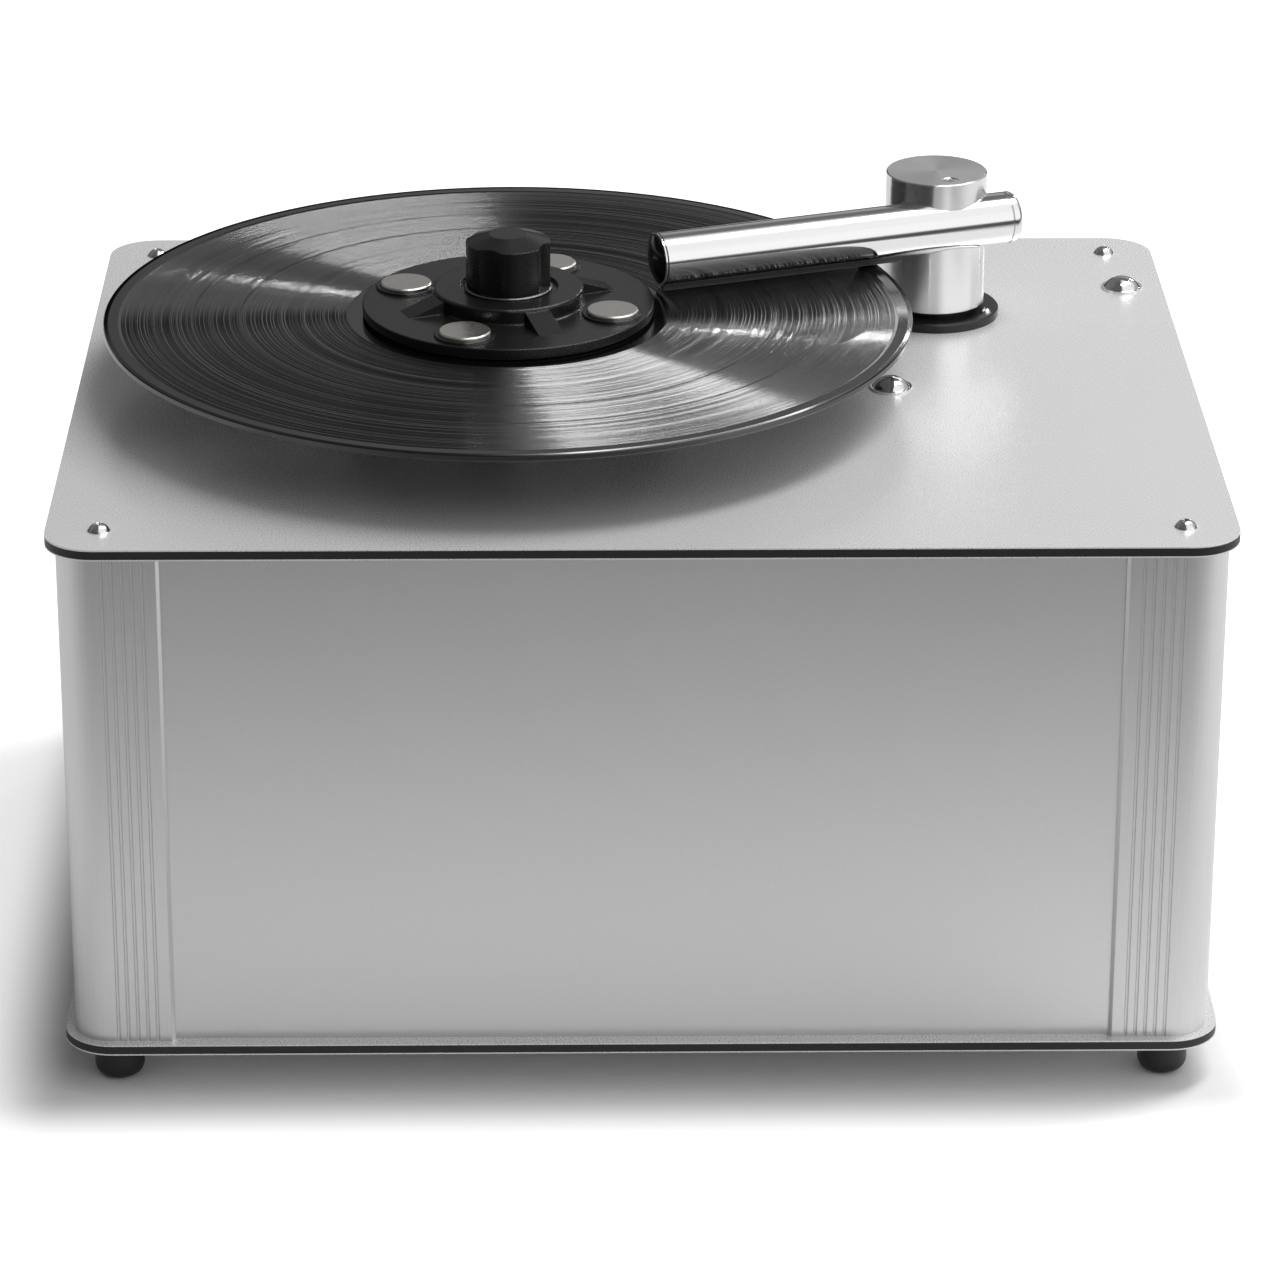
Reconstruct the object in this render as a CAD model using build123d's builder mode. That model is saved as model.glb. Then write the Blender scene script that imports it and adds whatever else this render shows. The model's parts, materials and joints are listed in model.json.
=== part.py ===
"""Record cleaning machine with a vacuum arm, a clamped turning record and a closed metal cabinet.

Millimetres, +Z up. The origin lies on the floor under the middle of the cabinet; the front faces -Y.
"""
import os
from math import cos, radians, sin, tan

from build123d import *

# ---------------------------------------------------------------- general clearances
fixed_fit = 0.02          # radial gap of pieces fixed to each other
running_fit = 0.04        # radial gap of a shaft that turns or slides in a bore
free_gap = 0.3            # gap between faces that move past each other

# ---------------------------------------------------------------- cabinet
cabinet_width = 418.0
cabinet_depth = 336.0
cabinet_height = 196.0    # over the outer faces of both plates
foot_height = 16.0
foot_radius = 9.0
foot_edge_radius = 4.6
plate_skin = 0.5
plate_core = 3.0
plate_corner_radius = 18.0
plate_overhang = 3.6      # plates stand proud of the corner posts by this much
post_width = 37.0
post_wall = 2.4
post_slot_depth = 8.0
post_slot_back = 1.8      # wall behind the panel slot
panel_recess = 2.0        # panels lie behind the face of the posts
panel_thickness = 2.0
panel_play = 0.1          # play of a panel in its slot, each side
post_lip_bevel = 1.2
groove_count = 5
groove_first = 16.8       # first groove from the post's outer face
groove_pitch = 3.52
groove_radius = 0.6
corner_screw_inset = 19.0
corner_screw_radius = 2.0
corner_screw_head = 4.05
corner_screw_head_height = 2.8
corner_screw_length = 22.0
foot_stud_radius = 2.0
foot_stud_length = 28.0
foot_stud_sink = 8.0      # how deep the stud is moulded into the foot

# ---------------------------------------------------------------- platter drive
platter_from_arm = 164.6  # spindle this far left of the arm's column
platter_y = 0.0
record_lift = 28.0        # record's playing surface above the top plate
record_radius = 150.8
record_edge_thickness = 2.3
record_groove_thickness = 1.7
record_rim_slope = 1.2    # width of the slope from the rim down to the grooves
record_rim_inner = 145.3
record_label_radius = 50.0
record_hole_radius = 3.65
mat_radius = 48.0
mat_thickness = 2.0
sub_platter_radius = 49.0
sub_platter_thickness = 6.0
sub_platter_hub_radius = 18.0
spindle_radius = 6.0
spindle_pin_radius = 3.55
spindle_pin_bevel = 1.2
spindle_pin_height = 22.0  # above the record
bearing_flange_radius = 22.0
bearing_flange_thickness = 3.0
bearing_radius = 13.0
bearing_length = 36.0     # below the top face
coupling_radius = 12.0
coupling_length = 18.0
coupling_gap = 1.0        # between coupling and its neighbours
output_shaft_radius = 4.0
output_shaft_engagement = 8.0
gearbox_radius = 30.0
gearbox_height = 32.0
gearbox_shaft_depth = 20.0
drive_motor_radius = 26.0
drive_motor_height = 54.0
can_edge = 2.4            # rounded or bevelled foot of the gearbox and both motor cans
motor_plate_radius = 34.0
motor_plate_thickness = 2.0
motor_post_circle = 30.0
motor_post_radius = 3.5
motor_post_count = 3

# ---------------------------------------------------------------- record clamp
clamp_radius = 54.4
clamp_edge = 0.45         # rounding of the disc's top edge
clamp_seal_thickness = 1.2
clamp_seal_outer = 53.0
clamp_seal_inner = 47.0
clamp_disc_thickness = 3.25
clamp_ring_radius = 28.1
clamp_ring_height = 5.9
clamp_ring_edge = 1.0      # rounding of the ring's top edge
clamp_ring_foot = 0.7      # hollow rounding where the ring meets the disc
clamp_turn = -22.2        # angle of the first magnet; the ramps lie halfway between magnets
magnet_count = 4
magnet_circle = 41.7
magnet_radius = 9.6
magnet_pocket_floor = 1.0
magnet_rise = 2.2         # above the disc
magnet_bevel = 0.5
magnet_boss_radius = 11.2
magnet_boss_height = 0.9
magnet_boss_edge = 0.4
ramp_width = 9.6
ramp_reach = 41.5         # where the ramp meets the disc
ramp_height = 4.6         # where the ramp meets the ring
recess_radius = 18.6      # recess in the ring round the knob
recess_depth = 1.4
washer_radius = 16.45
washer_thickness = 1.7
washer_bevel = 0.4
knob_radius = 15.7
knob_height = 17.15       # to the rim of its coned top
knob_cone_height = 3.0
knob_top_radius = 7.1
knob_flute_count = 4
knob_flute_radius = 13.0
knob_flute_depth = 1.6
knob_flute_turn = -26.0
knob_spigot_radius = 6.0
knob_spigot_length = 5.0
knob_bore_over_pin = 0.6  # space above the pin's tip

# ---------------------------------------------------------------- vacuum arm
arm_inset = 92.4          # column axis from the plates' right edge
arm_y = 78.0
arm_angle = 20.1          # the tube's heel points this far from +X
arm_offset = 12.8         # tube axis in front of the column axis
column_radius = 19.45
column_gap = 5.9          # column's foot above the top plate
column_top = 57.8         # above the top plate
column_edge = 0.4
column_counterbore_depth = 10.0
column_passage_radius = 8.0
tube_radius = 10.1
tube_wall = 1.0
tube_height = 11.9        # tube axis above the record
tube_tip = 120.5          # tip of the tube from the column, along the tube
tube_heel = 27.3
tube_slot_width = 3.0
tube_slot_end_gap = 5.0
tube_port_radius = 7.0
tip_ring_length = 0.7
tube_seam = 0.45
tip_plug_length = 10.0
tip_plug_dome = 2.3
heel_cap_length = 4.0
heel_cap_edge = 2.5
heel_spigot_length = 8.0
felt_width = 2.5
felt_gap = 0.3            # felt above the record
felt_end = 21.0           # felt ends this far before the column axis
felt_backing = 4.2        # height of the felt blank before it is cut to the tube
base_ring_radius = 25.2
base_ring_height = 3.5
base_ring_bevel = 0.6
base_screw_count = 3
base_screw_circle = 22.0
base_screw_turn = -27.0
base_screw_head = 2.1
base_screw_head_height = 1.5
base_screw_radius = 1.25
base_screw_length = 7.0
sleeve_radius = 16.5
sleeve_rise = 14.0        # above the top plate
sleeve_drop = 22.0        # below the top face
sleeve_lip = 3.0
pipe_radius = 12.0
pipe_lower_radius = 10.0
pipe_bore = 8.5
pipe_shoulder = 0.0       # shoulder above the top plate's outer face
pipe_rise = 28.2
pipe_drop = 42.0
spring_wire = 1.2
spring_turns = 6
spring_end_gap = 0.2
clamp_screw_head = 3.2
clamp_screw_radius = 1.5

# ---------------------------------------------------------------- waste tank
tank_bolt_front_inset = 114.0  # from the plates' right edge
tank_bolt_front_y = -7.0
tank_bolt_rear_inset = 16.0
tank_bolt_rear_y = 106.5
tank_bolt_margin = 7.0    # lid edge beyond the bolts
tank_bolt_radius = 3.0
tank_bolt_head_radius = 7.9
tank_bolt_head_height = 4.6
tank_bolt_washer_height = 0.8
tank_lid_thickness = 8.0
tank_lid_corner = 10.0
tank_wall = 3.0
tank_bottom_height = 70.0  # underside above the floor
tank_gasket_thickness = 1.5
tank_gasket_width = 5.0
outlet_above_bottom = 14.0
outlet_y = 50.0
outlet_radius = 8.0
outlet_bore = 6.0
outlet_collar = 2.4       # collar between the tank and the panel, beyond the outlet
outlet_reach = 4.2        # beyond the right panel's face
drain_cap_radius = 12.0
drain_cap_length = 5.0
drain_cap_knurls = 24
drain_cap_knurl_radius = 0.8
suction_port_y = 60.0
suction_port_drop = 20.0  # below the tank's rim
hose_radius = 17.0
hose_bore = 14.0
hose_bend = 25.0
hose_mid_x = 0.0
port_length = 18.0
port_wall = 3.0
hose_overlap = 10.0

# ---------------------------------------------------------------- vacuum turbine
turbine_inset = 89.0      # from the plates' left edge
turbine_y = 88.0
turbine_mount_radius = 42.0
turbine_mount_bore = 28.0
turbine_mount_height = 8.0
turbine_motor_radius = 36.0
turbine_motor_height = 60.0
turbine_case_radius = 58.0
turbine_case_height = 46.0
turbine_case_wall = 2.0
turbine_neck_height = 16.0
turbine_slot_count = 8
turbine_slot_width = 14.0
turbine_slot_height = 20.0
turbine_slot_lift = 6.0
fan_radius = 50.0
fan_disc = 2.0
fan_blade_count = 10
fan_blade_height = 20.0
fan_blade_thickness = 1.6
fan_hub_radius = 12.0
fan_lift = 8.0            # above the case's floor
fan_shaft_radius = 4.0
fan_shaft_depth = 40.0

# ---------------------------------------------------------------- electrics
switch_y = (-85.0, -55.0)  # platter switch, vacuum switch
switch_height = 150.0
bezel_height = 21.0
bezel_width = 15.0
bezel_thickness = 1.6
switch_body_height = 19.0
switch_body_width = 13.0
switch_body_depth = 20.0
switch_wall = 1.2
switch_panel_play = 0.15
rocker_radius = 7.8
rocker_width = 10.0
rocker_back = 3.0
rocker_apex = 3.4         # front of the rocker before its pivot
rocker_angle = 10.0
rocker_pin_radius = 1.0
rocker_pin_bite = 0.9     # pin's reach into each side wall
pivot_behind_bezel = 2.0
inlet_inset = 79.0        # from the plates' right edge
inlet_z = 56.0
inlet_flange_width = 50.0
inlet_flange_height = 28.0
inlet_flange_thickness = 2.5
inlet_flange_corner = 6.5
inlet_body_width = 27.2
inlet_body_height = 19.8
inlet_body_depth = 24.0
inlet_cavity_width = 24.4
inlet_cavity_height = 16.6
inlet_cavity_depth = 17.0
inlet_pin_length = 12.0
inlet_pin_width = 2.0
inlet_pin_height = 4.0
inlet_pin_pitch = 7.0
inlet_earth_rise = 2.0
inlet_pin_drop = -2.0
inlet_screw_pitch = 40.0
inlet_screw_radius = 1.6
vent_columns = 12
vent_rows = 2
vent_pitch_x = 7.0
vent_pitch_z = 46.0
vent_slot_width = 3.0
vent_slot_height = 36.0
vent_z = 110.0
board_x = 30.0
board_y = -95.0
board_length = 90.0
board_width = 60.0
board_thickness = 1.6
board_post_height = 8.0
board_post_radius = 3.0
board_post_inset = 5.0
transformer_length = 40.0
transformer_width = 34.0
transformer_height = 30.0
transformer_offset = 15.0  # towards the left of the board's middle
capacitor_radius = 6.0
capacitor_height = 18.0
capacitor_offset = 22.5   # towards the right of the board's middle
capacitor_pitch = 18.0
cable_radius = 2.5
cable_bend = 18.0
cable_dip = 27.0          # the motor's cable hangs this far below the motor
cable_stub = 36.0         # straight run behind the inlet
cable_lead = 54.0         # straight run behind the switches
cable_inset = 5.0         # where the cables land from the board's edges
bend_share = 0.45         # of the shorter run that a bend may take up

# ---------------------------------------------------------------- derived places
arm_x = cabinet_width / 2 - arm_inset
platter_x = arm_x - platter_from_arm
tank_bolt_front_x = cabinet_width / 2 - tank_bolt_front_inset
tank_bolt_rear_x = cabinet_width / 2 - tank_bolt_rear_inset
turbine_x = turbine_inset - cabinet_width / 2
inlet_x = cabinet_width / 2 - inlet_inset
plate_thickness = 2 * plate_skin + plate_core
inside_bottom = foot_height + plate_thickness
top_face = foot_height + cabinet_height
inside_top = top_face - plate_thickness
inside_height = inside_top - inside_bottom
post_face_x = cabinet_width / 2 - plate_overhang
post_face_y = cabinet_depth / 2 - plate_overhang
panel_face_x = post_face_x - panel_recess
panel_face_y = post_face_y - panel_recess
post_channel_depth = panel_recess + panel_thickness + 2 * panel_play + post_slot_back
screw_x = cabinet_width / 2 - corner_screw_inset
screw_y = cabinet_depth / 2 - corner_screw_inset
record_top = top_face + record_lift
record_bottom = record_top - record_edge_thickness
sub_platter_top = record_bottom - mat_thickness
disc_bottom = record_top + clamp_seal_thickness
disc_top = disc_bottom + clamp_disc_thickness
ring_top = disc_top + clamp_ring_height
washer_bottom = ring_top - recess_depth
washer_top = washer_bottom + washer_thickness
pin_top = record_top + spindle_pin_height
bearing_bottom = top_face - bearing_length
coupling_top = bearing_bottom - coupling_gap
coupling_bottom = coupling_top - coupling_length
gearbox_top = coupling_bottom - coupling_gap - motor_plate_thickness
gearbox_bottom = gearbox_top - gearbox_height
drive_motor_bottom = gearbox_bottom - drive_motor_height
tube_z = record_top + tube_height
column_bottom = top_face + column_gap
column_head = top_face + column_top
spindle_spot = (platter_x, platter_y)
arm_spot = (arm_x, arm_y)
turbine_spot = (turbine_x, turbine_y)
tube_direction = Vector(cos(radians(arm_angle)), sin(radians(arm_angle)), 0)
tube_back = Vector(-sin(radians(arm_angle)), cos(radians(arm_angle)), 0)
tube_foot = Vector(arm_x, arm_y, tube_z) - tube_back * arm_offset
lid_x = (tank_bolt_front_x + tank_bolt_rear_x) / 2
lid_y = (tank_bolt_front_y + tank_bolt_rear_y) / 2
lid_width = tank_bolt_rear_x - tank_bolt_front_x + 2 * tank_bolt_margin
lid_depth = tank_bolt_rear_y - tank_bolt_front_y + 2 * tank_bolt_margin
lid_bottom = inside_top - tank_lid_thickness
tank_rim = lid_bottom - tank_gasket_thickness
tank_left = lid_x - lid_width / 2
tank_right = lid_x + lid_width / 2
suction_port_z = tank_rim - suction_port_drop
turbine_motor_bottom = inside_bottom + turbine_mount_height
turbine_case_bottom = turbine_motor_bottom + turbine_motor_height
turbine_case_top = turbine_case_bottom + turbine_case_height
turbine_neck_top = turbine_case_top + turbine_neck_height
corner_signs = [(-1, -1), (1, -1), (-1, 1), (1, 1)]
corner_spots = [(side_x * screw_x, side_y * screw_y) for side_x, side_y in corner_signs]
tank_bolt_spots = [(tank_bolt_front_x, tank_bolt_front_y), (tank_bolt_rear_x, tank_bolt_rear_y)]
base_screw_spots = [
    (
        arm_x + base_screw_circle * cos(radians(base_screw_turn + 360 / base_screw_count * number)),
        arm_y + base_screw_circle * sin(radians(base_screw_turn + 360 / base_screw_count * number)),
    )
    for number in range(base_screw_count)
]

os.makedirs("parts", exist_ok=True)


def save(part, label):
    """Label a finished piece and write it as its own node."""
    part.label = label
    export_step(part, f"parts/{label}.step")


def tube_plane(distance):
    """Plane square to the suction tube; local x points to the tube's back, local y up."""
    origin = tube_foot + tube_direction * distance
    return Plane(origin=origin, x_dir=tube_back, z_dir=tube_direction)


# ================================================================ plates
def plate_outline():
    """Rounded outline that both plates share, drawn in the current sketch."""
    RectangleRounded(cabinet_width, cabinet_depth, plate_corner_radius)


def top_plate_holes():
    """Holes through the top plate, cut from the current sketch."""
    with Locations(spindle_spot):
        Circle(bearing_radius + fixed_fit, mode=Mode.SUBTRACT)
    with Locations(arm_spot):
        Circle(sleeve_radius + fixed_fit, mode=Mode.SUBTRACT)
    with Locations(*tank_bolt_spots):
        Circle(tank_bolt_radius + fixed_fit, mode=Mode.SUBTRACT)
    with Locations(*corner_spots):
        Circle(corner_screw_radius + fixed_fit, mode=Mode.SUBTRACT)
    with Locations(*base_screw_spots):
        Circle(base_screw_radius + fixed_fit, mode=Mode.SUBTRACT)


def bottom_plate_holes():
    """Holes through the bottom plate, cut from the current sketch."""
    with Locations(*corner_spots):
        Circle(foot_stud_radius + fixed_fit, mode=Mode.SUBTRACT)


with BuildPart() as top_plate_core:
    with BuildSketch(Plane.XY.offset(inside_top + plate_skin)):
        plate_outline()
        top_plate_holes()
    extrude(amount=plate_core)
save(top_plate_core.part, "top_plate_core")

with BuildPart() as top_plate_skins:
    for skin_height in (inside_top, top_face - plate_skin):
        with BuildSketch(Plane.XY.offset(skin_height)):
            plate_outline()
            top_plate_holes()
        extrude(amount=plate_skin)
save(top_plate_skins.part, "top_plate_skins")

with BuildPart() as bottom_plate_core:
    with BuildSketch(Plane.XY.offset(foot_height + plate_skin)):
        plate_outline()
        bottom_plate_holes()
    extrude(amount=plate_core)
save(bottom_plate_core.part, "bottom_plate_core")

with BuildPart() as bottom_plate_skins:
    for skin_height in (foot_height, inside_bottom - plate_skin):
        with BuildSketch(Plane.XY.offset(skin_height)):
            plate_outline()
            bottom_plate_holes()
        extrude(amount=plate_skin)
save(bottom_plate_skins.part, "bottom_plate_skins")


# ================================================================ corner posts
def corner_post(side_x, side_y):
    """Ribbed corner post with two panel slots and a channel for the corner screws."""

    def at(across, along):
        """Point by its distances from the post's two outer faces."""
        return (side_x * (post_face_x - across), side_y * (post_face_y - along))

    def both_ways(across, along, width, length, mode):
        """One rectangle on each arm of the post, mirrored about its diagonal."""
        with Locations(at(across, along)):
            Rectangle(width, length, mode=mode)
        with Locations(at(along, across)):
            Rectangle(length, width, mode=mode)

    corner_radius = plate_corner_radius - plate_overhang
    channel_centre = corner_screw_inset - plate_overhang
    slot_width = panel_thickness + 2 * panel_play
    slot_centre = panel_recess - panel_play + slot_width / 2
    pocket = post_width - post_wall
    with BuildPart() as post:
        with BuildSketch(Plane.XY.offset(inside_bottom)) as outline:
            with Locations(at(post_width, post_width)):
                RectangleRounded(2 * post_width, 2 * post_width, corner_radius)
                RectangleRounded(2 * pocket, 2 * pocket, corner_radius - post_wall, mode=Mode.SUBTRACT)
            with Locations(at(post_width / 2, post_width / 2)):
                Rectangle(post_width, post_width, mode=Mode.INTERSECT)
            block_length = post_slot_depth + post_wall
            both_ways(
                post_width - block_length / 2, post_channel_depth / 2, block_length, post_channel_depth, Mode.ADD
            )
            both_ways(
                channel_centre, (post_wall + channel_centre) / 2, post_wall, channel_centre - post_wall / 2, Mode.ADD
            )
            with Locations(at(channel_centre, channel_centre)):
                Circle(corner_screw_radius + 2 * post_wall)
                Circle(corner_screw_radius + fixed_fit, mode=Mode.SUBTRACT)
            both_ways(
                post_width - post_slot_depth / 2, slot_centre, post_slot_depth, slot_width, Mode.SUBTRACT
            )
            lips = [
                outline.vertices().sort_by_distance((*spot, inside_bottom))[0]
                for spot in (at(post_width, 0), at(0, post_width))
            ]
            chamfer(lips, post_lip_bevel)
            for number in range(groove_count):
                distance = groove_first + groove_pitch * number
                with Locations(at(distance, 0), at(0, distance)):
                    Circle(groove_radius, mode=Mode.SUBTRACT)
        extrude(amount=inside_height)
    return post.part


corner_names = ["front_left", "front_right", "rear_left", "rear_right"]
for corner_name, (side_x, side_y) in zip(corner_names, corner_signs):
    save(corner_post(side_x, side_y), f"corner_post_{corner_name}")

# ================================================================ panels
panel_width_x = 2 * (post_face_x - post_width + post_slot_depth - free_gap)
panel_width_y = 2 * (post_face_y - post_width + post_slot_depth - free_gap)
panel_middle = inside_bottom + inside_height / 2
front_plane = Plane(origin=(0, -panel_face_y, 0), x_dir=(1, 0, 0), z_dir=(0, -1, 0))
rear_plane = Plane(origin=(0, panel_face_y, 0), x_dir=(-1, 0, 0), z_dir=(0, 1, 0))
left_plane = Plane(origin=(-panel_face_x, 0, 0), x_dir=(0, -1, 0), z_dir=(-1, 0, 0))
right_plane = Plane(origin=(panel_face_x, 0, 0), x_dir=(0, 1, 0), z_dir=(1, 0, 0))
inlet_spot = (-inlet_x, inlet_z)
inlet_screw_spots = [(-inlet_x + side * inlet_screw_pitch / 2, inlet_z) for side in (-1, 1)]

with BuildPart() as front_panel:
    with BuildSketch(front_plane):
        with Locations((0, panel_middle)):
            Rectangle(panel_width_x, inside_height)
    extrude(amount=-panel_thickness)
save(front_panel.part, "front_panel")

with BuildPart() as left_panel:
    with BuildSketch(left_plane):
        with Locations((0, panel_middle)):
            Rectangle(panel_width_y, inside_height)
    extrude(amount=-panel_thickness)
save(left_panel.part, "left_panel")

with BuildPart() as right_panel:
    with BuildSketch(right_plane):
        with Locations((0, panel_middle)):
            Rectangle(panel_width_y, inside_height)
        with Locations(*[(spot_y, switch_height) for spot_y in switch_y]):
            Rectangle(
                switch_body_width + 2 * switch_panel_play,
                switch_body_height + 2 * switch_panel_play,
                mode=Mode.SUBTRACT,
            )
        with Locations((outlet_y, tank_bottom_height + outlet_above_bottom)):
            Circle(outlet_radius + fixed_fit, mode=Mode.SUBTRACT)
    extrude(amount=-panel_thickness)
save(right_panel.part, "right_panel")

with BuildPart() as rear_panel:
    with BuildSketch(rear_plane):
        with Locations((0, panel_middle)):
            Rectangle(panel_width_x, inside_height)
        with Locations(inlet_spot):
            Rectangle(
                inlet_body_width + 2 * switch_panel_play,
                inlet_body_height + 2 * switch_panel_play,
                mode=Mode.SUBTRACT,
            )
        with Locations(*inlet_screw_spots):
            Circle(inlet_screw_radius + fixed_fit, mode=Mode.SUBTRACT)
        with Locations((-turbine_x, vent_z)):
            with GridLocations(vent_pitch_x, vent_pitch_z, vent_columns, vent_rows):
                SlotOverall(vent_slot_height, vent_slot_width, rotation=90, mode=Mode.SUBTRACT)
    extrude(amount=-panel_thickness)
save(rear_panel.part, "rear_panel")

# ================================================================ feet and corner screws
with BuildPart() as rubber_feet:
    with Locations(*[(spot_x, spot_y, 0) for spot_x, spot_y in corner_spots]):
        Cylinder(foot_radius, foot_height, align=(Align.CENTER, Align.CENTER, Align.MIN))
    fillet(rubber_feet.faces().sort_by(Axis.Z)[: len(corner_spots)].edges(), foot_edge_radius)
    with BuildSketch(Plane.XY.offset(foot_height)):
        with Locations(*corner_spots):
            Circle(foot_stud_radius + fixed_fit)
    extrude(amount=-foot_stud_sink, mode=Mode.SUBTRACT)
save(rubber_feet.part, "rubber_feet")

with BuildPart() as foot_studs:
    with BuildSketch(Plane.XY.offset(foot_height - foot_stud_sink)):
        with Locations(*corner_spots):
            Circle(foot_stud_radius)
    extrude(amount=foot_stud_length)
save(foot_studs.part, "foot_studs")


def button_head(radius, height):
    """Head of a screw, a low dome that stands on the origin."""
    sphere_radius = (radius**2 + height**2) / (2 * height)
    with BuildPart() as head:
        with BuildSketch(Plane.XZ):
            with BuildLine():
                Line((0, 0), (radius, 0))
                RadiusArc((radius, 0), (0, height), -sphere_radius)
                Line((0, height), (0, 0))
            make_face()
        revolve(axis=Axis.Z)
    return head.part


corner_head = button_head(corner_screw_head, corner_screw_head_height)
with BuildPart() as top_plate_screws:
    with Locations(*[(spot_x, spot_y, top_face) for spot_x, spot_y in corner_spots]):
        add(corner_head)
    with BuildSketch(Plane.XY.offset(top_face)):
        with Locations(*corner_spots):
            Circle(corner_screw_radius)
    extrude(amount=-corner_screw_length)
save(top_plate_screws.part, "top_plate_screws")

# ================================================================ platter drive
with BuildPart() as spindle_bearing:
    with BuildSketch(Plane.XY.offset(top_face)):
        with Locations(spindle_spot):
            Circle(bearing_flange_radius)
    extrude(amount=bearing_flange_thickness)
    with BuildSketch(Plane.XY.offset(bearing_bottom)):
        with Locations(spindle_spot):
            Circle(bearing_radius)
    extrude(amount=bearing_length)
    with BuildSketch(Plane.XY.offset(bearing_bottom)):
        with Locations(spindle_spot):
            Circle(spindle_radius + running_fit)
    extrude(amount=bearing_length + bearing_flange_thickness, mode=Mode.SUBTRACT)
save(spindle_bearing.part, "spindle_bearing")

shaft_bottom = coupling_bottom + output_shaft_engagement + coupling_gap
with BuildPart() as spindle_shaft:
    with BuildSketch(Plane.XY.offset(shaft_bottom)):
        with Locations(spindle_spot):
            Circle(spindle_radius)
    extrude(amount=sub_platter_top - shaft_bottom)
    with BuildSketch(Plane.XY.offset(sub_platter_top)):
        with Locations(spindle_spot):
            Circle(spindle_pin_radius)
    extrude(amount=pin_top - sub_platter_top)
    chamfer(spindle_shaft.faces().sort_by(Axis.Z)[-1].edges(), spindle_pin_bevel)
save(spindle_shaft.part, "spindle_shaft")

hub_bottom = top_face + bearing_flange_thickness + coupling_gap
with BuildPart() as sub_platter:
    with BuildSketch(Plane.XY.offset(sub_platter_top - sub_platter_thickness)):
        with Locations(spindle_spot):
            Circle(sub_platter_radius)
    extrude(amount=sub_platter_thickness)
    chamfer(sub_platter.edges().group_by(Axis.Z)[-1], free_gap)
    with BuildSketch(Plane.XY.offset(hub_bottom)):
        with Locations(spindle_spot):
            Circle(sub_platter_hub_radius)
    extrude(amount=sub_platter_top - sub_platter_thickness - hub_bottom)
    with BuildSketch(Plane.XY.offset(hub_bottom)):
        with Locations(spindle_spot):
            Circle(spindle_radius + fixed_fit)
    extrude(amount=sub_platter_top - hub_bottom, mode=Mode.SUBTRACT)
save(sub_platter.part, "sub_platter")

with BuildPart() as platter_mat:
    with BuildSketch(Plane.XY.offset(sub_platter_top)):
        with Locations(spindle_spot):
            Circle(mat_radius)
            Circle(spindle_pin_radius + free_gap, mode=Mode.SUBTRACT)
    extrude(amount=mat_thickness)
save(platter_mat.part, "platter_mat")

groove_dip = (record_edge_thickness - record_groove_thickness) / 2
with BuildPart() as record:
    with BuildSketch(Plane(origin=(*spindle_spot, record_bottom), x_dir=(1, 0, 0), z_dir=(0, -1, 0))):
        with BuildLine():
            Polyline(
                (record_hole_radius, 0),
                (record_label_radius, 0),
                (record_label_radius + groove_dip, groove_dip),
                (record_rim_inner - record_rim_slope, groove_dip),
                (record_rim_inner, 0),
                (record_radius - groove_dip, 0),
                (record_radius, groove_dip),
                (record_radius, record_edge_thickness - groove_dip),
                (record_radius - groove_dip, record_edge_thickness),
                (record_rim_inner, record_edge_thickness),
                (record_rim_inner - record_rim_slope, record_edge_thickness - groove_dip),
                (record_label_radius + groove_dip, record_edge_thickness - groove_dip),
                (record_label_radius, record_edge_thickness),
                (record_hole_radius, record_edge_thickness),
                close=True,
            )
        make_face()
    revolve(axis=Axis((*spindle_spot, record_bottom), (0, 0, 1)))
save(record.part, "record")

with BuildPart() as drive_coupling:
    with BuildSketch(Plane.XY.offset(coupling_bottom)):
        with Locations(spindle_spot):
            Circle(coupling_radius)
            Circle(output_shaft_radius + fixed_fit, mode=Mode.SUBTRACT)
    extrude(amount=output_shaft_engagement + coupling_gap)
    with BuildSketch(Plane.XY.offset(shaft_bottom)):
        with Locations(spindle_spot):
            Circle(coupling_radius)
            Circle(spindle_radius + fixed_fit, mode=Mode.SUBTRACT)
    extrude(amount=coupling_top - shaft_bottom)
save(drive_coupling.part, "drive_coupling")

output_shaft_bottom = gearbox_top - gearbox_shaft_depth
with BuildPart() as gearbox_output_shaft:
    with BuildSketch(Plane.XY.offset(output_shaft_bottom)):
        with Locations(spindle_spot):
            Circle(output_shaft_radius)
    extrude(amount=coupling_bottom + output_shaft_engagement - output_shaft_bottom)
save(gearbox_output_shaft.part, "gearbox_output_shaft")

with BuildPart() as drive_gearbox:
    with BuildSketch(Plane.XY.offset(gearbox_bottom)):
        with Locations(spindle_spot):
            Circle(gearbox_radius)
    extrude(amount=gearbox_height)
    chamfer(drive_gearbox.edges().group_by(Axis.Z)[0], can_edge)
    with BuildSketch(Plane.XY.offset(output_shaft_bottom - coupling_gap)):
        with Locations(spindle_spot):
            Circle(output_shaft_radius + running_fit)
    extrude(amount=gearbox_shaft_depth + coupling_gap, mode=Mode.SUBTRACT)
save(drive_gearbox.part, "drive_gearbox")

with BuildPart() as drive_motor:
    with BuildSketch(Plane.XY.offset(drive_motor_bottom)):
        with Locations(spindle_spot):
            Circle(drive_motor_radius)
    extrude(amount=drive_motor_height)
    fillet(drive_motor.edges().group_by(Axis.Z)[0], can_edge)
save(drive_motor.part, "drive_motor")

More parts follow.
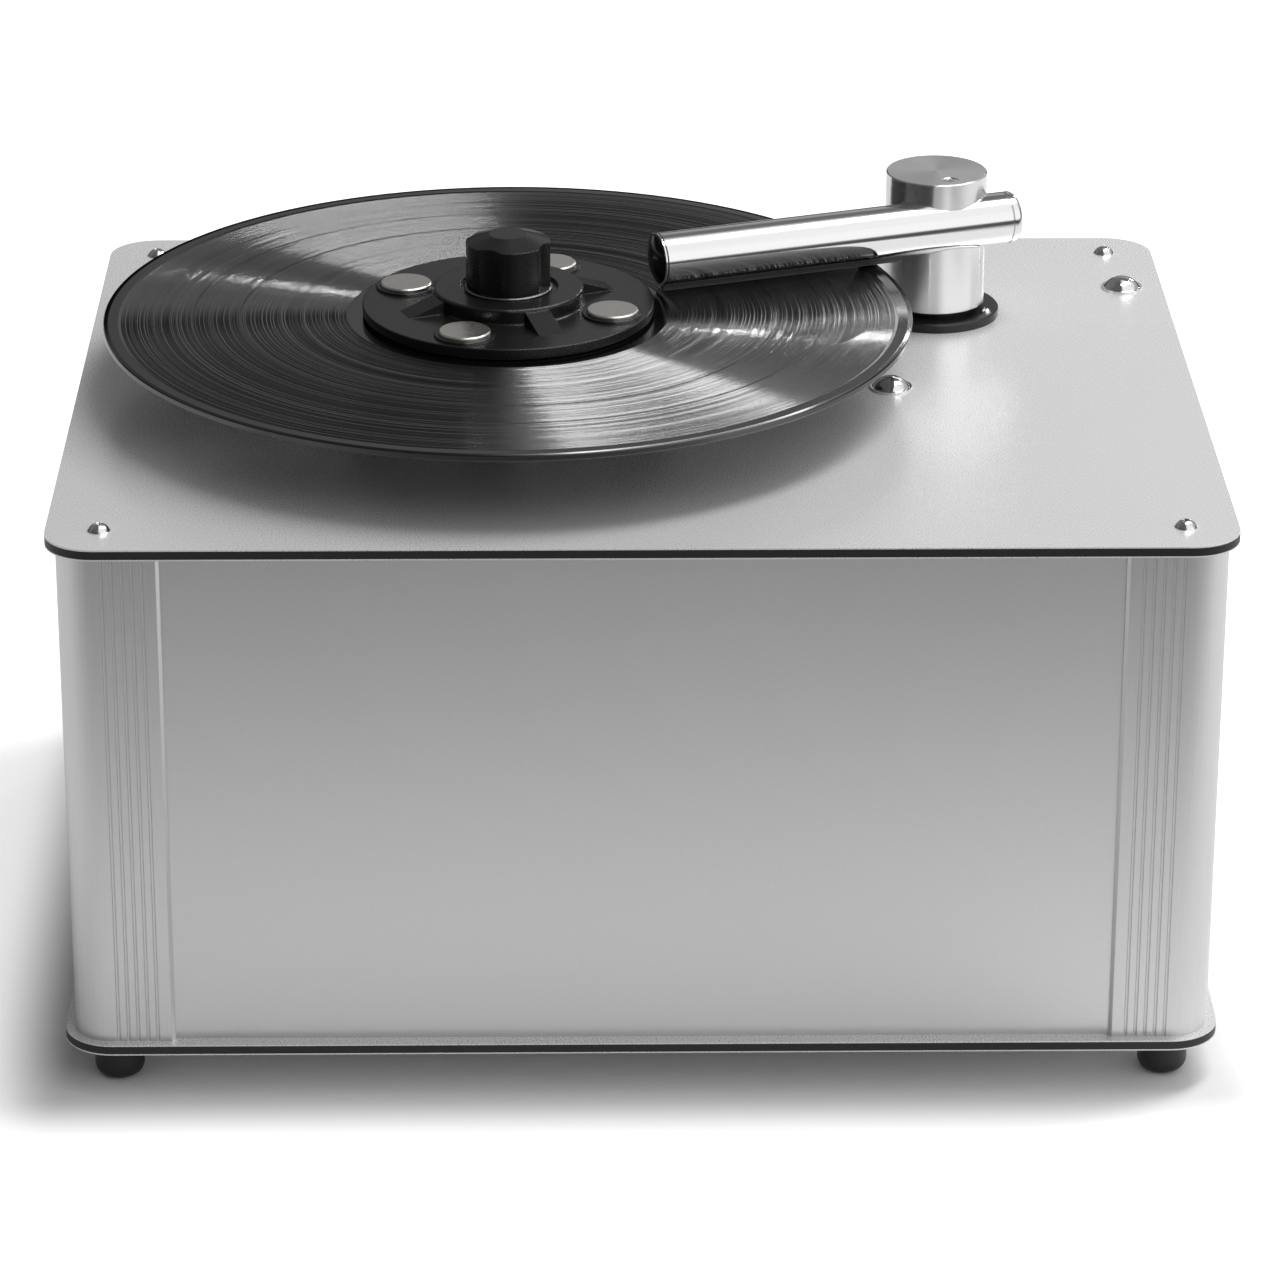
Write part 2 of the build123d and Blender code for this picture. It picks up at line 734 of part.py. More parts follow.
motor_post_spots = [
    (
        platter_x + motor_post_circle * cos(radians(360 / motor_post_count * number)),
        platter_y + motor_post_circle * sin(radians(360 / motor_post_count * number)),
    )
    for number in range(motor_post_count)
]
with BuildPart() as motor_plate:
    with BuildSketch(Plane.XY.offset(gearbox_top)):
        with Locations(spindle_spot):
            Circle(motor_plate_radius)
            Circle(coupling_radius + free_gap, mode=Mode.SUBTRACT)
    extrude(amount=motor_plate_thickness)
save(motor_plate.part, "motor_plate")

with BuildPart() as motor_posts:
    with BuildSketch(Plane.XY.offset(gearbox_top + motor_plate_thickness)):
        with Locations(*motor_post_spots):
            RegularPolygon(motor_post_radius, 6)
    extrude(amount=inside_top - gearbox_top - motor_plate_thickness)
save(motor_posts.part, "motor_posts")

# ================================================================ record clamp
magnet_angles = [clamp_turn + 360 / magnet_count * number for number in range(magnet_count)]
ramp_angles = [angle + 180 / magnet_count for angle in magnet_angles]
magnet_spots = [
    (platter_x + magnet_circle * cos(radians(angle)), platter_y + magnet_circle * sin(radians(angle)))
    for angle in magnet_angles
]
clamp_bore = knob_spigot_radius + free_gap

with BuildPart() as clamp_disc:
    with BuildSketch(Plane.XY.offset(disc_bottom)):
        with Locations(spindle_spot):
            Circle(clamp_radius)
    extrude(amount=clamp_disc_thickness)
    fillet(clamp_disc.edges().group_by(Axis.Z)[-1], clamp_edge)
    with BuildSketch(Plane.XY.offset(disc_top)):
        with Locations(spindle_spot):
            Circle(clamp_ring_radius)
    extrude(amount=clamp_ring_height)
    fillet(clamp_disc.edges().group_by(Axis.Z)[-1], clamp_ring_edge)
    ring_foot = [
        edge
        for edge in clamp_disc.edges().filter_by(GeomType.CIRCLE)
        if abs(edge.radius - clamp_ring_radius) < fixed_fit and abs(edge.center().Z - disc_top) < fixed_fit
    ]
    fillet(ring_foot, clamp_ring_foot)
    with BuildSketch(Plane.XY.offset(disc_top)):
        with Locations(*magnet_spots):
            Circle(magnet_boss_radius)
    extrude(amount=magnet_boss_height)
    boss_rims = clamp_disc.faces().filter_by(
        lambda face: face.is_planar and abs(face.center().Z - disc_top - magnet_boss_height) < fixed_fit
    )
    fillet(boss_rims.edges(), magnet_boss_edge)
    for angle in ramp_angles:
        outward = (cos(radians(angle)), sin(radians(angle)), 0)
        across = (sin(radians(angle)), -cos(radians(angle)), 0)
        with BuildSketch(Plane(origin=(*spindle_spot, disc_top), x_dir=outward, z_dir=across)):
            with BuildLine():
                Polyline(
                    (clamp_ring_radius - clamp_ring_edge, 0),
                    (ramp_reach, 0),
                    (clamp_ring_radius, ramp_height),
                    (clamp_ring_radius - clamp_ring_edge, ramp_height),
                    close=True,
                )
            make_face()
        extrude(amount=ramp_width / 2, both=True)
    with BuildSketch(Plane.XY.offset(disc_bottom + magnet_pocket_floor)):
        with Locations(*magnet_spots):
            Circle(magnet_radius + fixed_fit)
    extrude(amount=clamp_disc_thickness + magnet_boss_height, mode=Mode.SUBTRACT)
    with BuildSketch(Plane.XY.offset(washer_bottom)):
        with Locations(spindle_spot):
            Circle(recess_radius)
    extrude(amount=recess_depth, mode=Mode.SUBTRACT)
    with BuildSketch(Plane.XY.offset(disc_bottom)):
        with Locations(spindle_spot):
            Circle(clamp_bore)
    extrude(amount=ring_top - disc_bottom, mode=Mode.SUBTRACT)
save(clamp_disc.part, "clamp_disc")

with BuildPart() as clamp_seal:
    with BuildSketch(Plane.XY.offset(record_top)):
        with Locations(spindle_spot):
            Circle(clamp_seal_outer)
            Circle(clamp_seal_inner, mode=Mode.SUBTRACT)
    extrude(amount=clamp_seal_thickness)
save(clamp_seal.part, "clamp_seal")

magnet_bottom = disc_bottom + magnet_pocket_floor
with BuildPart() as clamp_magnets:
    with BuildSketch(Plane.XY.offset(magnet_bottom)):
        with Locations(*magnet_spots):
            Circle(magnet_radius)
    extrude(amount=disc_top + magnet_rise - magnet_bottom)
    chamfer(clamp_magnets.edges().group_by(Axis.Z)[-1], magnet_bevel)
save(clamp_magnets.part, "clamp_magnets")

with BuildPart() as clamp_washer:
    with BuildSketch(Plane.XY.offset(washer_bottom)):
        with Locations(spindle_spot):
            Circle(washer_radius)
    extrude(amount=washer_thickness)
    chamfer(clamp_washer.edges().group_by(Axis.Z)[-1], washer_bevel)
    with BuildSketch(Plane.XY.offset(washer_bottom)):
        with Locations(spindle_spot):
            Circle(clamp_bore)
    extrude(amount=washer_thickness, mode=Mode.SUBTRACT)
save(clamp_washer.part, "clamp_washer")

with BuildPart() as clamp_knob:
    with BuildSketch(Plane(origin=(*spindle_spot, washer_top), x_dir=(1, 0, 0), z_dir=(0, -1, 0))):
        with BuildLine():
            Polyline(
                (0, -knob_spigot_length),
                (knob_spigot_radius, -knob_spigot_length),
                (knob_spigot_radius, 0),
                (knob_radius, 0),
                (knob_radius, knob_height),
                (knob_top_radius, knob_height + knob_cone_height),
                (0, knob_height + knob_cone_height),
                close=True,
            )
        make_face()
    revolve(axis=Axis((*spindle_spot, washer_top), (0, 0, 1)))
    flute_centre = knob_radius + knob_flute_radius - knob_flute_depth
    with BuildSketch(Plane.XY.offset(washer_top)):
        with Locations(spindle_spot):
            with PolarLocations(flute_centre, knob_flute_count, start_angle=knob_flute_turn):
                Circle(knob_flute_radius)
    extrude(amount=knob_height + knob_cone_height, mode=Mode.SUBTRACT)
    with BuildSketch(Plane.XY.offset(washer_top - knob_spigot_length)):
        with Locations(spindle_spot):
            Circle(spindle_pin_radius + free_gap)
    extrude(amount=pin_top + knob_bore_over_pin - washer_top + knob_spigot_length, mode=Mode.SUBTRACT)
save(clamp_knob.part, "clamp_knob")

# ================================================================ vacuum arm
with BuildPart() as arm_base_ring:
    with BuildSketch(Plane.XY.offset(top_face)):
        with Locations(arm_spot):
            Circle(base_ring_radius)
    extrude(amount=base_ring_height)
    chamfer(arm_base_ring.edges().group_by(Axis.Z)[-1], base_ring_bevel)
    with BuildSketch(Plane.XY.offset(top_face)):
        with Locations(arm_spot):
            Circle(sleeve_radius + fixed_fit)
        with Locations(*base_screw_spots):
            Circle(base_screw_radius + fixed_fit)
    extrude(amount=base_ring_height, mode=Mode.SUBTRACT)
save(arm_base_ring.part, "arm_base_ring")

ring_face = top_face + base_ring_height
base_head = button_head(base_screw_head, base_screw_head_height)
with BuildPart() as base_ring_screws:
    with Locations(*[(spot_x, spot_y, ring_face) for spot_x, spot_y in base_screw_spots]):
        add(base_head)
    with BuildSketch(Plane.XY.offset(ring_face)):
        with Locations(*base_screw_spots):
            Circle(base_screw_radius)
    extrude(amount=-base_screw_length)
save(base_ring_screws.part, "base_ring_screws")

sleeve_bottom = top_face - sleeve_drop
sleeve_bore = pipe_radius + running_fit
with BuildPart() as arm_guide_sleeve:
    with BuildSketch(Plane.XY.offset(sleeve_bottom)):
        with Locations(arm_spot):
            Circle(sleeve_radius)
            Circle(pipe_lower_radius + free_gap, mode=Mode.SUBTRACT)
    extrude(amount=sleeve_lip)
    with BuildSketch(Plane.XY.offset(sleeve_bottom + sleeve_lip)):
        with Locations(arm_spot):
            Circle(sleeve_radius)
            Circle(sleeve_bore, mode=Mode.SUBTRACT)
    extrude(amount=sleeve_drop + sleeve_rise - sleeve_lip)
save(arm_guide_sleeve.part, "arm_guide_sleeve")

pipe_step = top_face + pipe_shoulder
pipe_bottom = top_face - pipe_drop
pipe_top = top_face + pipe_rise
with BuildPart() as lift_pipe:
    with BuildSketch(Plane.XY.offset(pipe_bottom)):
        with Locations(arm_spot):
            Circle(pipe_lower_radius)
    extrude(amount=pipe_step - pipe_bottom)
    with BuildSketch(Plane.XY.offset(pipe_step)):
        with Locations(arm_spot):
            Circle(pipe_radius)
    extrude(amount=pipe_top - pipe_step)
    with BuildSketch(Plane.XY.offset(pipe_bottom)):
        with Locations(arm_spot):
            Circle(pipe_bore)
    extrude(amount=pipe_top - pipe_bottom, mode=Mode.SUBTRACT)
save(lift_pipe.part, "lift_pipe")

spring_bottom = sleeve_bottom + sleeve_lip + spring_end_gap
spring_height = pipe_step - spring_end_gap - spring_bottom
spring_coil_radius = (pipe_lower_radius + sleeve_bore) / 2
spring_pitch = (spring_height - spring_wire) / spring_turns
with BuildPart() as lift_spring:
    with BuildLine() as spring_path:
        Helix(
            pitch=spring_pitch,
            height=spring_pitch * spring_turns,
            radius=spring_coil_radius,
            center=(arm_x, arm_y, spring_bottom + spring_wire / 2),
        )
    spring_start = spring_path.line @ 0
    spring_tangent = spring_path.line % 0
    with BuildSketch(Plane(origin=spring_start, z_dir=spring_tangent)):
        Circle(spring_wire / 2)
    sweep(is_frenet=True)
save(lift_spring.part, "lift_spring")

tube_outer = tube_radius + fixed_fit
with BuildPart() as arm_column:
    with BuildSketch(Plane.XY.offset(column_bottom)):
        with Locations(arm_spot):
            Circle(column_radius)
    extrude(amount=column_head - column_bottom)
    chamfer(arm_column.edges().group_by(Axis.Z)[-1], column_edge)
    with BuildSketch(Plane.XY.offset(column_bottom)):
        with Locations(arm_spot):
            Circle(sleeve_radius + free_gap)
    extrude(amount=column_counterbore_depth, mode=Mode.SUBTRACT)
    with BuildSketch(Plane.XY.offset(column_bottom + column_counterbore_depth)):
        with Locations(arm_spot):
            Circle(sleeve_bore)
    extrude(amount=pipe_top + fixed_fit - column_bottom - column_counterbore_depth, mode=Mode.SUBTRACT)
    with BuildSketch(Plane.XY.offset(pipe_top)):
        with Locations(arm_spot):
            Circle(column_passage_radius)
    extrude(amount=tube_z - pipe_top, mode=Mode.SUBTRACT)
    with BuildSketch(tube_plane(-2 * column_radius)):
        Circle(tube_outer)
    extrude(amount=4 * column_radius, mode=Mode.SUBTRACT)
    with Locations((tube_foot.X, tube_foot.Y, column_head)):
        CounterSinkHole(clamp_screw_radius + fixed_fit, clamp_screw_head + fixed_fit, column_head - tube_z)
save(arm_column.part, "arm_column")

tip_inner = -tube_tip + tip_ring_length + tube_seam
heel_inner = tube_heel - heel_cap_length - tube_seam
tube_bore = tube_radius - tube_wall
slot_start = tip_inner + tube_slot_end_gap
slot_end = -felt_end - tube_slot_end_gap
with BuildPart() as suction_tube:
    with BuildSketch(tube_plane(tip_inner)):
        Circle(tube_radius)
        Circle(tube_bore, mode=Mode.SUBTRACT)
    extrude(amount=heel_inner - tip_inner)
    with BuildSketch(tube_plane(slot_start)):
        with Locations((0, -tube_radius)):
            Rectangle(tube_slot_width, tube_radius)
    extrude(amount=slot_end - slot_start, mode=Mode.SUBTRACT)
    with BuildSketch(Plane.XY.offset(pipe_top)):
        with Locations(arm_spot):
            Circle(tube_port_radius)
    extrude(amount=tube_z - pipe_top, mode=Mode.SUBTRACT)
    with BuildSketch(Plane.XY.offset(tube_z)):
        with Locations((tube_foot.X, tube_foot.Y)):
            Circle(clamp_screw_radius + fixed_fit)
    extrude(amount=2 * tube_radius, mode=Mode.SUBTRACT)
save(suction_tube.part, "suction_tube")

with BuildPart() as felt_strips:
    with BuildSketch(tube_plane(tip_inner)):
        with Locations(
            (-tube_slot_width / 2 - felt_width / 2, felt_gap - tube_height + felt_backing / 2),
            (tube_slot_width / 2 + felt_width / 2, felt_gap - tube_height + felt_backing / 2),
        ):
            Rectangle(felt_width, felt_backing)
        Circle(tube_outer, mode=Mode.SUBTRACT)
    extrude(amount=-felt_end - tip_inner)
save(felt_strips.part, "felt_strips")

with BuildPart() as tube_tip_ring:
    with BuildSketch(tube_plane(-tube_tip)):
        Circle(tube_radius)
        Circle(tube_bore + fixed_fit, mode=Mode.SUBTRACT)
    extrude(amount=tip_ring_length)
save(tube_tip_ring.part, "tube_tip_ring")

plug_radius = tube_bore - fixed_fit
plug_sphere = (plug_radius**2 + tip_plug_dome**2) / (2 * tip_plug_dome)
tip_turning = Plane(origin=tube_plane(-tube_tip).origin, x_dir=tube_back, z_dir=(0, 0, 1))
with BuildPart() as tube_tip_plug:
    with BuildSketch(tip_turning):
        with BuildLine():
            Line((0, -tip_plug_length), (plug_radius, -tip_plug_length))
            Line((plug_radius, -tip_plug_length), (plug_radius, 0))
            RadiusArc((plug_radius, 0), (0, tip_plug_dome), -plug_sphere)
            Line((0, tip_plug_dome), (0, -tip_plug_length))
        make_face()
    revolve(axis=Axis(tip_turning.origin, tube_direction))
save(tube_tip_plug.part, "tube_tip_plug")

heel_face = tube_heel - heel_cap_length
with BuildPart() as tube_heel_cap:
    with BuildSketch(tube_plane(heel_face)):
        Circle(tube_radius)
    extrude(amount=heel_cap_length)
    fillet(tube_heel_cap.edges().sort_by(Axis(tube_foot, tube_direction))[-1], heel_cap_edge)
    with BuildSketch(tube_plane(heel_face)):
        Circle(plug_radius)
    extrude(amount=-heel_spigot_length)
save(tube_heel_cap.part, "tube_heel_cap")

screw_cone_depth = clamp_screw_head - clamp_screw_radius
with BuildPart() as tube_clamp_screw:
    with BuildSketch(Plane(origin=(tube_foot.X, tube_foot.Y, column_head), x_dir=(1, 0, 0), z_dir=(0, -1, 0))):
        with BuildLine():
            Polyline(
                (0, 0),
                (clamp_screw_head, 0),
                (clamp_screw_radius, -screw_cone_depth),
                (clamp_screw_radius, tube_z + tube_bore - column_head),
                (0, tube_z + tube_bore - column_head),
                close=True,
            )
        make_face()
    revolve(axis=Axis((tube_foot.X, tube_foot.Y, column_head), (0, 0, 1)))
    with BuildSketch(Plane.XY.offset(column_head)):
        with Locations((tube_foot.X, tube_foot.Y)):
            RegularPolygon(clamp_screw_radius, 6)
    extrude(amount=-screw_cone_depth, mode=Mode.SUBTRACT)
save(tube_clamp_screw.part, "tube_clamp_screw")

# ================================================================ waste tank
with BuildPart() as tank_lid:
    with BuildSketch(Plane.XY.offset(lid_bottom)):
        with Locations((lid_x, lid_y)):
            RectangleRounded(lid_width, lid_depth, tank_lid_corner)
        with Locations(arm_spot):
            Circle(sleeve_radius + fixed_fit, mode=Mode.SUBTRACT)
        with Locations(*tank_bolt_spots):
            Circle(tank_bolt_radius + fixed_fit, mode=Mode.SUBTRACT)
    extrude(amount=tank_lid_thickness)
save(tank_lid.part, "tank_lid")

with BuildPart() as tank_gasket:
    with BuildSketch(Plane.XY.offset(tank_rim)):
        with Locations((lid_x, lid_y)):
            RectangleRounded(lid_width, lid_depth, tank_lid_corner)
            RectangleRounded(
                lid_width - 2 * tank_gasket_width,
                lid_depth - 2 * tank_gasket_width,
                tank_lid_corner - tank_gasket_width,
                mode=Mode.SUBTRACT,
            )
    extrude(amount=tank_gasket_thickness)
save(tank_gasket.part, "tank_gasket")

port_plane = Plane(origin=(tank_left, suction_port_y, suction_port_z), x_dir=(0, 1, 0), z_dir=(-1, 0, 0))
outlet_z = tank_bottom_height + outlet_above_bottom
outlet_plane = Plane(origin=(tank_right, outlet_y, outlet_z), x_dir=(0, 1, 0), z_dir=(1, 0, 0))
port_bore = hose_bore - port_wall
with BuildPart() as waste_tank:
    with BuildSketch(Plane.XY.offset(tank_bottom_height)):
        with Locations((lid_x, lid_y)):
            RectangleRounded(lid_width, lid_depth, tank_lid_corner)
    extrude(amount=tank_rim - tank_bottom_height)
    with BuildSketch(Plane.XY.offset(tank_bottom_height + tank_wall)):
        with Locations((lid_x, lid_y)):
            RectangleRounded(
                lid_width - 2 * tank_wall, lid_depth - 2 * tank_wall, tank_lid_corner - tank_wall
            )
    extrude(amount=tank_rim - tank_bottom_height - tank_wall, mode=Mode.SUBTRACT)
    with BuildSketch(port_plane):
        Circle(hose_bore - fixed_fit)
    extrude(amount=port_length)
    with BuildSketch(port_plane.offset(-tank_wall)):
        Circle(port_bore)
    extrude(amount=port_length + tank_wall, mode=Mode.SUBTRACT)
    with BuildSketch(outlet_plane):
        Circle(outlet_radius + fixed_fit)
    extrude(amount=-tank_wall, mode=Mode.SUBTRACT)
save(waste_tank.part, "waste_tank")

outlet_face = panel_face_x + outlet_reach - tank_right
with BuildPart() as drain_outlet:
    with BuildSketch(outlet_plane.offset(-tank_wall)):
        Circle(outlet_radius)
    extrude(amount=tank_wall + outlet_face)
    with BuildSketch(outlet_plane):
        Circle(outlet_radius + outlet_collar)
    extrude(amount=panel_face_x - panel_thickness - tank_right)
    with BuildSketch(outlet_plane.offset(-tank_wall)):
        Circle(outlet_bore)
    extrude(amount=tank_wall + outlet_face, mode=Mode.SUBTRACT)
save(drain_outlet.part, "drain_outlet")

cap_plane = Plane(origin=(panel_face_x + free_gap, outlet_y, outlet_z), x_dir=(0, 1, 0), z_dir=(1, 0, 0))
with BuildPart() as drain_cap:
    with BuildSketch(cap_plane):
        Circle(drain_cap_radius)
        with PolarLocations(drain_cap_radius, drain_cap_knurls):
            Circle(drain_cap_knurl_radius, mode=Mode.SUBTRACT)
    extrude(amount=drain_cap_length)
    with BuildSketch(cap_plane):
        Circle(outlet_radius + running_fit)
    extrude(amount=outlet_reach, mode=Mode.SUBTRACT)
save(drain_cap.part, "drain_cap")

bolt_seat = top_face + tank_bolt_washer_height
bolt_head = button_head(
    tank_bolt_head_radius - tank_bolt_washer_height, tank_bolt_head_height - tank_bolt_washer_height
)
with BuildPart() as tank_bolts:
    with BuildSketch(Plane.XY.offset(top_face)):
        with Locations(*tank_bolt_spots):
            Circle(tank_bolt_head_radius)
    extrude(amount=tank_bolt_washer_height)
    with Locations(*[(spot_x, spot_y, bolt_seat) for spot_x, spot_y in tank_bolt_spots]):
        add(bolt_head)
    with BuildSketch(Plane.XY.offset(top_face)):
        with Locations(*tank_bolt_spots):
            Circle(tank_bolt_radius)
    extrude(amount=-plate_thickness - tank_lid_thickness)
save(tank_bolts.part, "tank_bolts")

# ================================================================ vacuum turbine and its hose
hose_start = (tank_left - port_length + hose_overlap, suction_port_y, suction_port_z)
hose_points = [
    hose_start,
    (hose_mid_x, suction_port_y, suction_port_z),
    (turbine_x, turbine_y, suction_port_z),
    (turbine_x, turbine_y, turbine_neck_top - hose_overlap),
]
with BuildPart() as suction_hose:
    with BuildLine() as hose_path:
        FilletPolyline(*hose_points, radius=hose_bend)
    with BuildSketch(Plane(origin=hose_start, x_dir=(0, 1, 0), z_dir=(-1, 0, 0))):
        Circle(hose_radius)
        Circle(hose_bore, mode=Mode.SUBTRACT)
    sweep()
save(suction_hose.part, "suction_hose")

with BuildPart() as turbine_mount:
    with BuildSketch(Plane.XY.offset(inside_bottom)):
        with Locations(turbine_spot):
            Circle(turbine_mount_radius)
            Circle(turbine_mount_bore, mode=Mode.SUBTRACT)
    extrude(amount=turbine_mount_height)
save(turbine_mount.part, "turbine_mount")

with BuildPart() as turbine_motor:
    with BuildSketch(Plane.XY.offset(turbine_motor_bottom)):
        with Locations(turbine_spot):
            Circle(turbine_motor_radius)
    extrude(amount=turbine_motor_height)
    fillet(turbine_motor.edges().group_by(Axis.Z)[0], can_edge)
    with BuildSketch(Plane.XY.offset(turbine_case_bottom - fan_shaft_depth - coupling_gap)):
        with Locations(turbine_spot):
            Circle(fan_shaft_radius + running_fit)
    extrude(amount=fan_shaft_depth + coupling_gap, mode=Mode.SUBTRACT)
save(turbine_motor.part, "turbine_motor")

case_inner = turbine_case_radius - turbine_case_wall
slot_middle = turbine_case_bottom + turbine_slot_lift + turbine_slot_height / 2
with BuildPart() as turbine_housing:
    with BuildSketch(Plane.XY.offset(turbine_case_bottom)):
        with Locations(turbine_spot):
            Circle(turbine_case_radius)
    extrude(amount=turbine_case_height)
    with BuildSketch(Plane.XY.offset(turbine_case_bottom + turbine_case_wall)):
        with Locations(turbine_spot):
            Circle(case_inner)
    extrude(amount=turbine_case_height - 2 * turbine_case_wall, mode=Mode.SUBTRACT)
    with BuildSketch(Plane.XY.offset(turbine_case_top)):
        with Locations(turbine_spot):
            Circle(hose_bore - fixed_fit)
    extrude(amount=turbine_neck_height)
    with BuildSketch(Plane.XY.offset(turbine_case_top - turbine_case_wall)):
        with Locations(turbine_spot):
            Circle(port_bore)
    extrude(amount=turbine_neck_height + turbine_case_wall, mode=Mode.SUBTRACT)
    with BuildSketch(Plane.XY.offset(turbine_case_bottom)):
        with Locations(turbine_spot):
            Circle(fan_shaft_radius + free_gap)
    extrude(amount=turbine_case_wall, mode=Mode.SUBTRACT)
    with BuildSketch(Plane.XY.offset(slot_middle - turbine_slot_height / 2)):
        with Locations(turbine_spot):
            with PolarLocations(turbine_case_radius, turbine_slot_count):
                Rectangle(4 * turbine_case_wall, turbine_slot_width)
    extrude(amount=turbine_slot_height, mode=Mode.SUBTRACT)
save(turbine_housing.part, "turbine_housing")

fan_bottom = turbine_case_bottom + turbine_case_wall + fan_lift
blade_length = fan_radius - fan_hub_radius
with BuildPart() as turbine_fan:
    with BuildSketch(Plane.XY.offset(fan_bottom)):
        with Locations(turbine_spot):
            Circle(fan_radius)
    extrude(amount=fan_disc)
    with BuildSketch(Plane.XY.offset(fan_bottom + fan_disc)):
        with Locations(turbine_spot):
            Circle(fan_hub_radius)
            with PolarLocations(fan_hub_radius + blade_length / 2, fan_blade_count):
                Rectangle(blade_length + fan_blade_thickness, fan_blade_thickness)
            Circle(fan_radius, mode=Mode.INTERSECT)
    extrude(amount=fan_blade_height)
    with BuildSketch(Plane.XY.offset(turbine_case_bottom - fan_shaft_depth)):
        with Locations(turbine_spot):
            Circle(fan_shaft_radius)
    extrude(amount=fan_bottom - turbine_case_bottom + fan_shaft_depth)
save(turbine_fan.part, "turbine_fan")

# ================================================================ switches
bezel_face = panel_face_x + bezel_thickness
pivot_x = bezel_face - pivot_behind_bezel
cavity_height = switch_body_height - 2 * switch_wall
cavity_width = switch_body_width - 2 * switch_wall
cavity_depth = switch_body_depth + bezel_thickness - switch_wall
switch_spots = [(spot_y, switch_height) for spot_y in switch_y]
with BuildPart() as switch_housings:
    with BuildSketch(right_plane):
        with Locations(*switch_spots):
            RectangleRounded(bezel_width, bezel_height, switch_wall)
    extrude(amount=bezel_thickness)
    with BuildSketch(right_plane):
        with Locations(*switch_spots):
            Rectangle(switch_body_width, switch_body_height)
    extrude(amount=-switch_body_depth)
    with BuildSketch(right_plane.offset(bezel_thickness)):
        with Locations(*switch_spots):
            Rectangle(cavity_width, cavity_height)
    extrude(amount=-cavity_depth, mode=Mode.SUBTRACT)
    with BuildSketch(Plane(origin=(0, min(switch_y) - bezel_width, 0), x_dir=(1, 0, 0), z_dir=(0, -1, 0))):
        with Locations((pivot_x, switch_height)):
            Circle(rocker_pin_radius + running_fit)
    extrude(amount=-(max(switch_y) - min(switch_y) + 2 * bezel_width), mode=Mode.SUBTRACT)
save(switch_housings.part, "switch_housings")


def rocker(spot_y, tilt):
    """Rocker of a switch: a slice of a disc about its pin, cut to a shallow V in front."""
    mid_plane = Plane(origin=(pivot_x, spot_y, switch_height), x_dir=(1, 0, 0), z_dir=(0, -1, 0))
    reach = 2 * rocker_radius
    with BuildPart() as lever:
        with BuildSketch(mid_plane) as side:
            Circle(rocker_radius)
            with BuildSketch(mode=Mode.INTERSECT):
                with BuildLine():
                    Polyline(
                        (-rocker_back, -reach),
                        (rocker_apex + reach * sin(radians(rocker_angle)), -reach),
                        (rocker_apex, 0),
                        (rocker_apex + reach * sin(radians(rocker_angle)), reach),
                        (-rocker_back, reach),
                        close=True,
                    )
                make_face()
        extrude(amount=rocker_width / 2, both=True)
        with BuildSketch(mid_plane):
            Circle(rocker_pin_radius)
        extrude(amount=cavity_width / 2 + rocker_pin_bite, both=True)
    pin_axis = Axis((pivot_x, spot_y, switch_height), (0, 1, 0))
    return lever.part.rotate(pin_axis, tilt)


save(rocker(switch_y[0], 0), "platter_rocker")
save(rocker(switch_y[1], -rocker_angle), "vacuum_rocker")

# ================================================================ mains inlet
with BuildPart() as mains_inlet:
    with BuildSketch(rear_plane):
        with Locations(inlet_spot):
            RectangleRounded(inlet_flange_width, inlet_flange_height, inlet_flange_corner)
    extrude(amount=inlet_flange_thickness)
    with BuildSketch(rear_plane):
        with Locations(inlet_spot):
            Rectangle(inlet_body_width, inlet_body_height)
    extrude(amount=-inlet_body_depth + inlet_flange_thickness)
    with BuildSketch(rear_plane.offset(inlet_flange_thickness)):
        with Locations(inlet_spot):
            Rectangle(inlet_cavity_width, inlet_cavity_height)
    extrude(amount=-inlet_cavity_depth, mode=Mode.SUBTRACT)
    with BuildSketch(rear_plane.offset(inlet_flange_thickness - inlet_cavity_depth)):
        with Locations(
            (-inlet_x - inlet_pin_pitch, inlet_z + inlet_pin_drop),
            (-inlet_x + inlet_pin_pitch, inlet_z + inlet_pin_drop),
            (-inlet_x, inlet_z + inlet_earth_rise),
        ):
            Rectangle(inlet_pin_width, inlet_pin_height)
    extrude(amount=inlet_pin_length)
    with BuildSketch(rear_plane.offset(inlet_flange_thickness)):
        with Locations(*inlet_screw_spots):
            Circle(inlet_screw_radius + fixed_fit)
    extrude(amount=-inlet_flange_thickness, mode=Mode.SUBTRACT)
save(mains_inlet.part, "mains_inlet")

# ================================================================ control board and wiring
board_bottom = inside_bottom + board_post_height
board_top = board_bottom + board_thickness
board_plane = Plane.XY.offset(board_top)
with BuildPart() as control_board:
    with BuildSketch(Plane.XY.offset(inside_bottom)):
        with Locations((board_x, board_y)):
            with GridLocations(board_length - 2 * board_post_inset, board_width - 2 * board_post_inset, 2, 2):
                Circle(board_post_radius)
    extrude(amount=board_post_height)
    with BuildSketch(Plane.XY.offset(board_bottom)):
        with Locations((board_x, board_y)):
            Rectangle(board_length, board_width)
    extrude(amount=board_thickness)
    with BuildSketch(board_plane):
        with Locations((board_x - transformer_offset, board_y)):
            Rectangle(transformer_length, transformer_width)
    extrude(amount=transformer_height)
    with BuildSketch(board_plane):
        with Locations((board_x + capacitor_offset, board_y)):
            with GridLocations(0, capacitor_pitch, 1, 2):
                Circle(capacitor_radius)
    extrude(amount=capacitor_height)
save(control_board.part, "control_board")

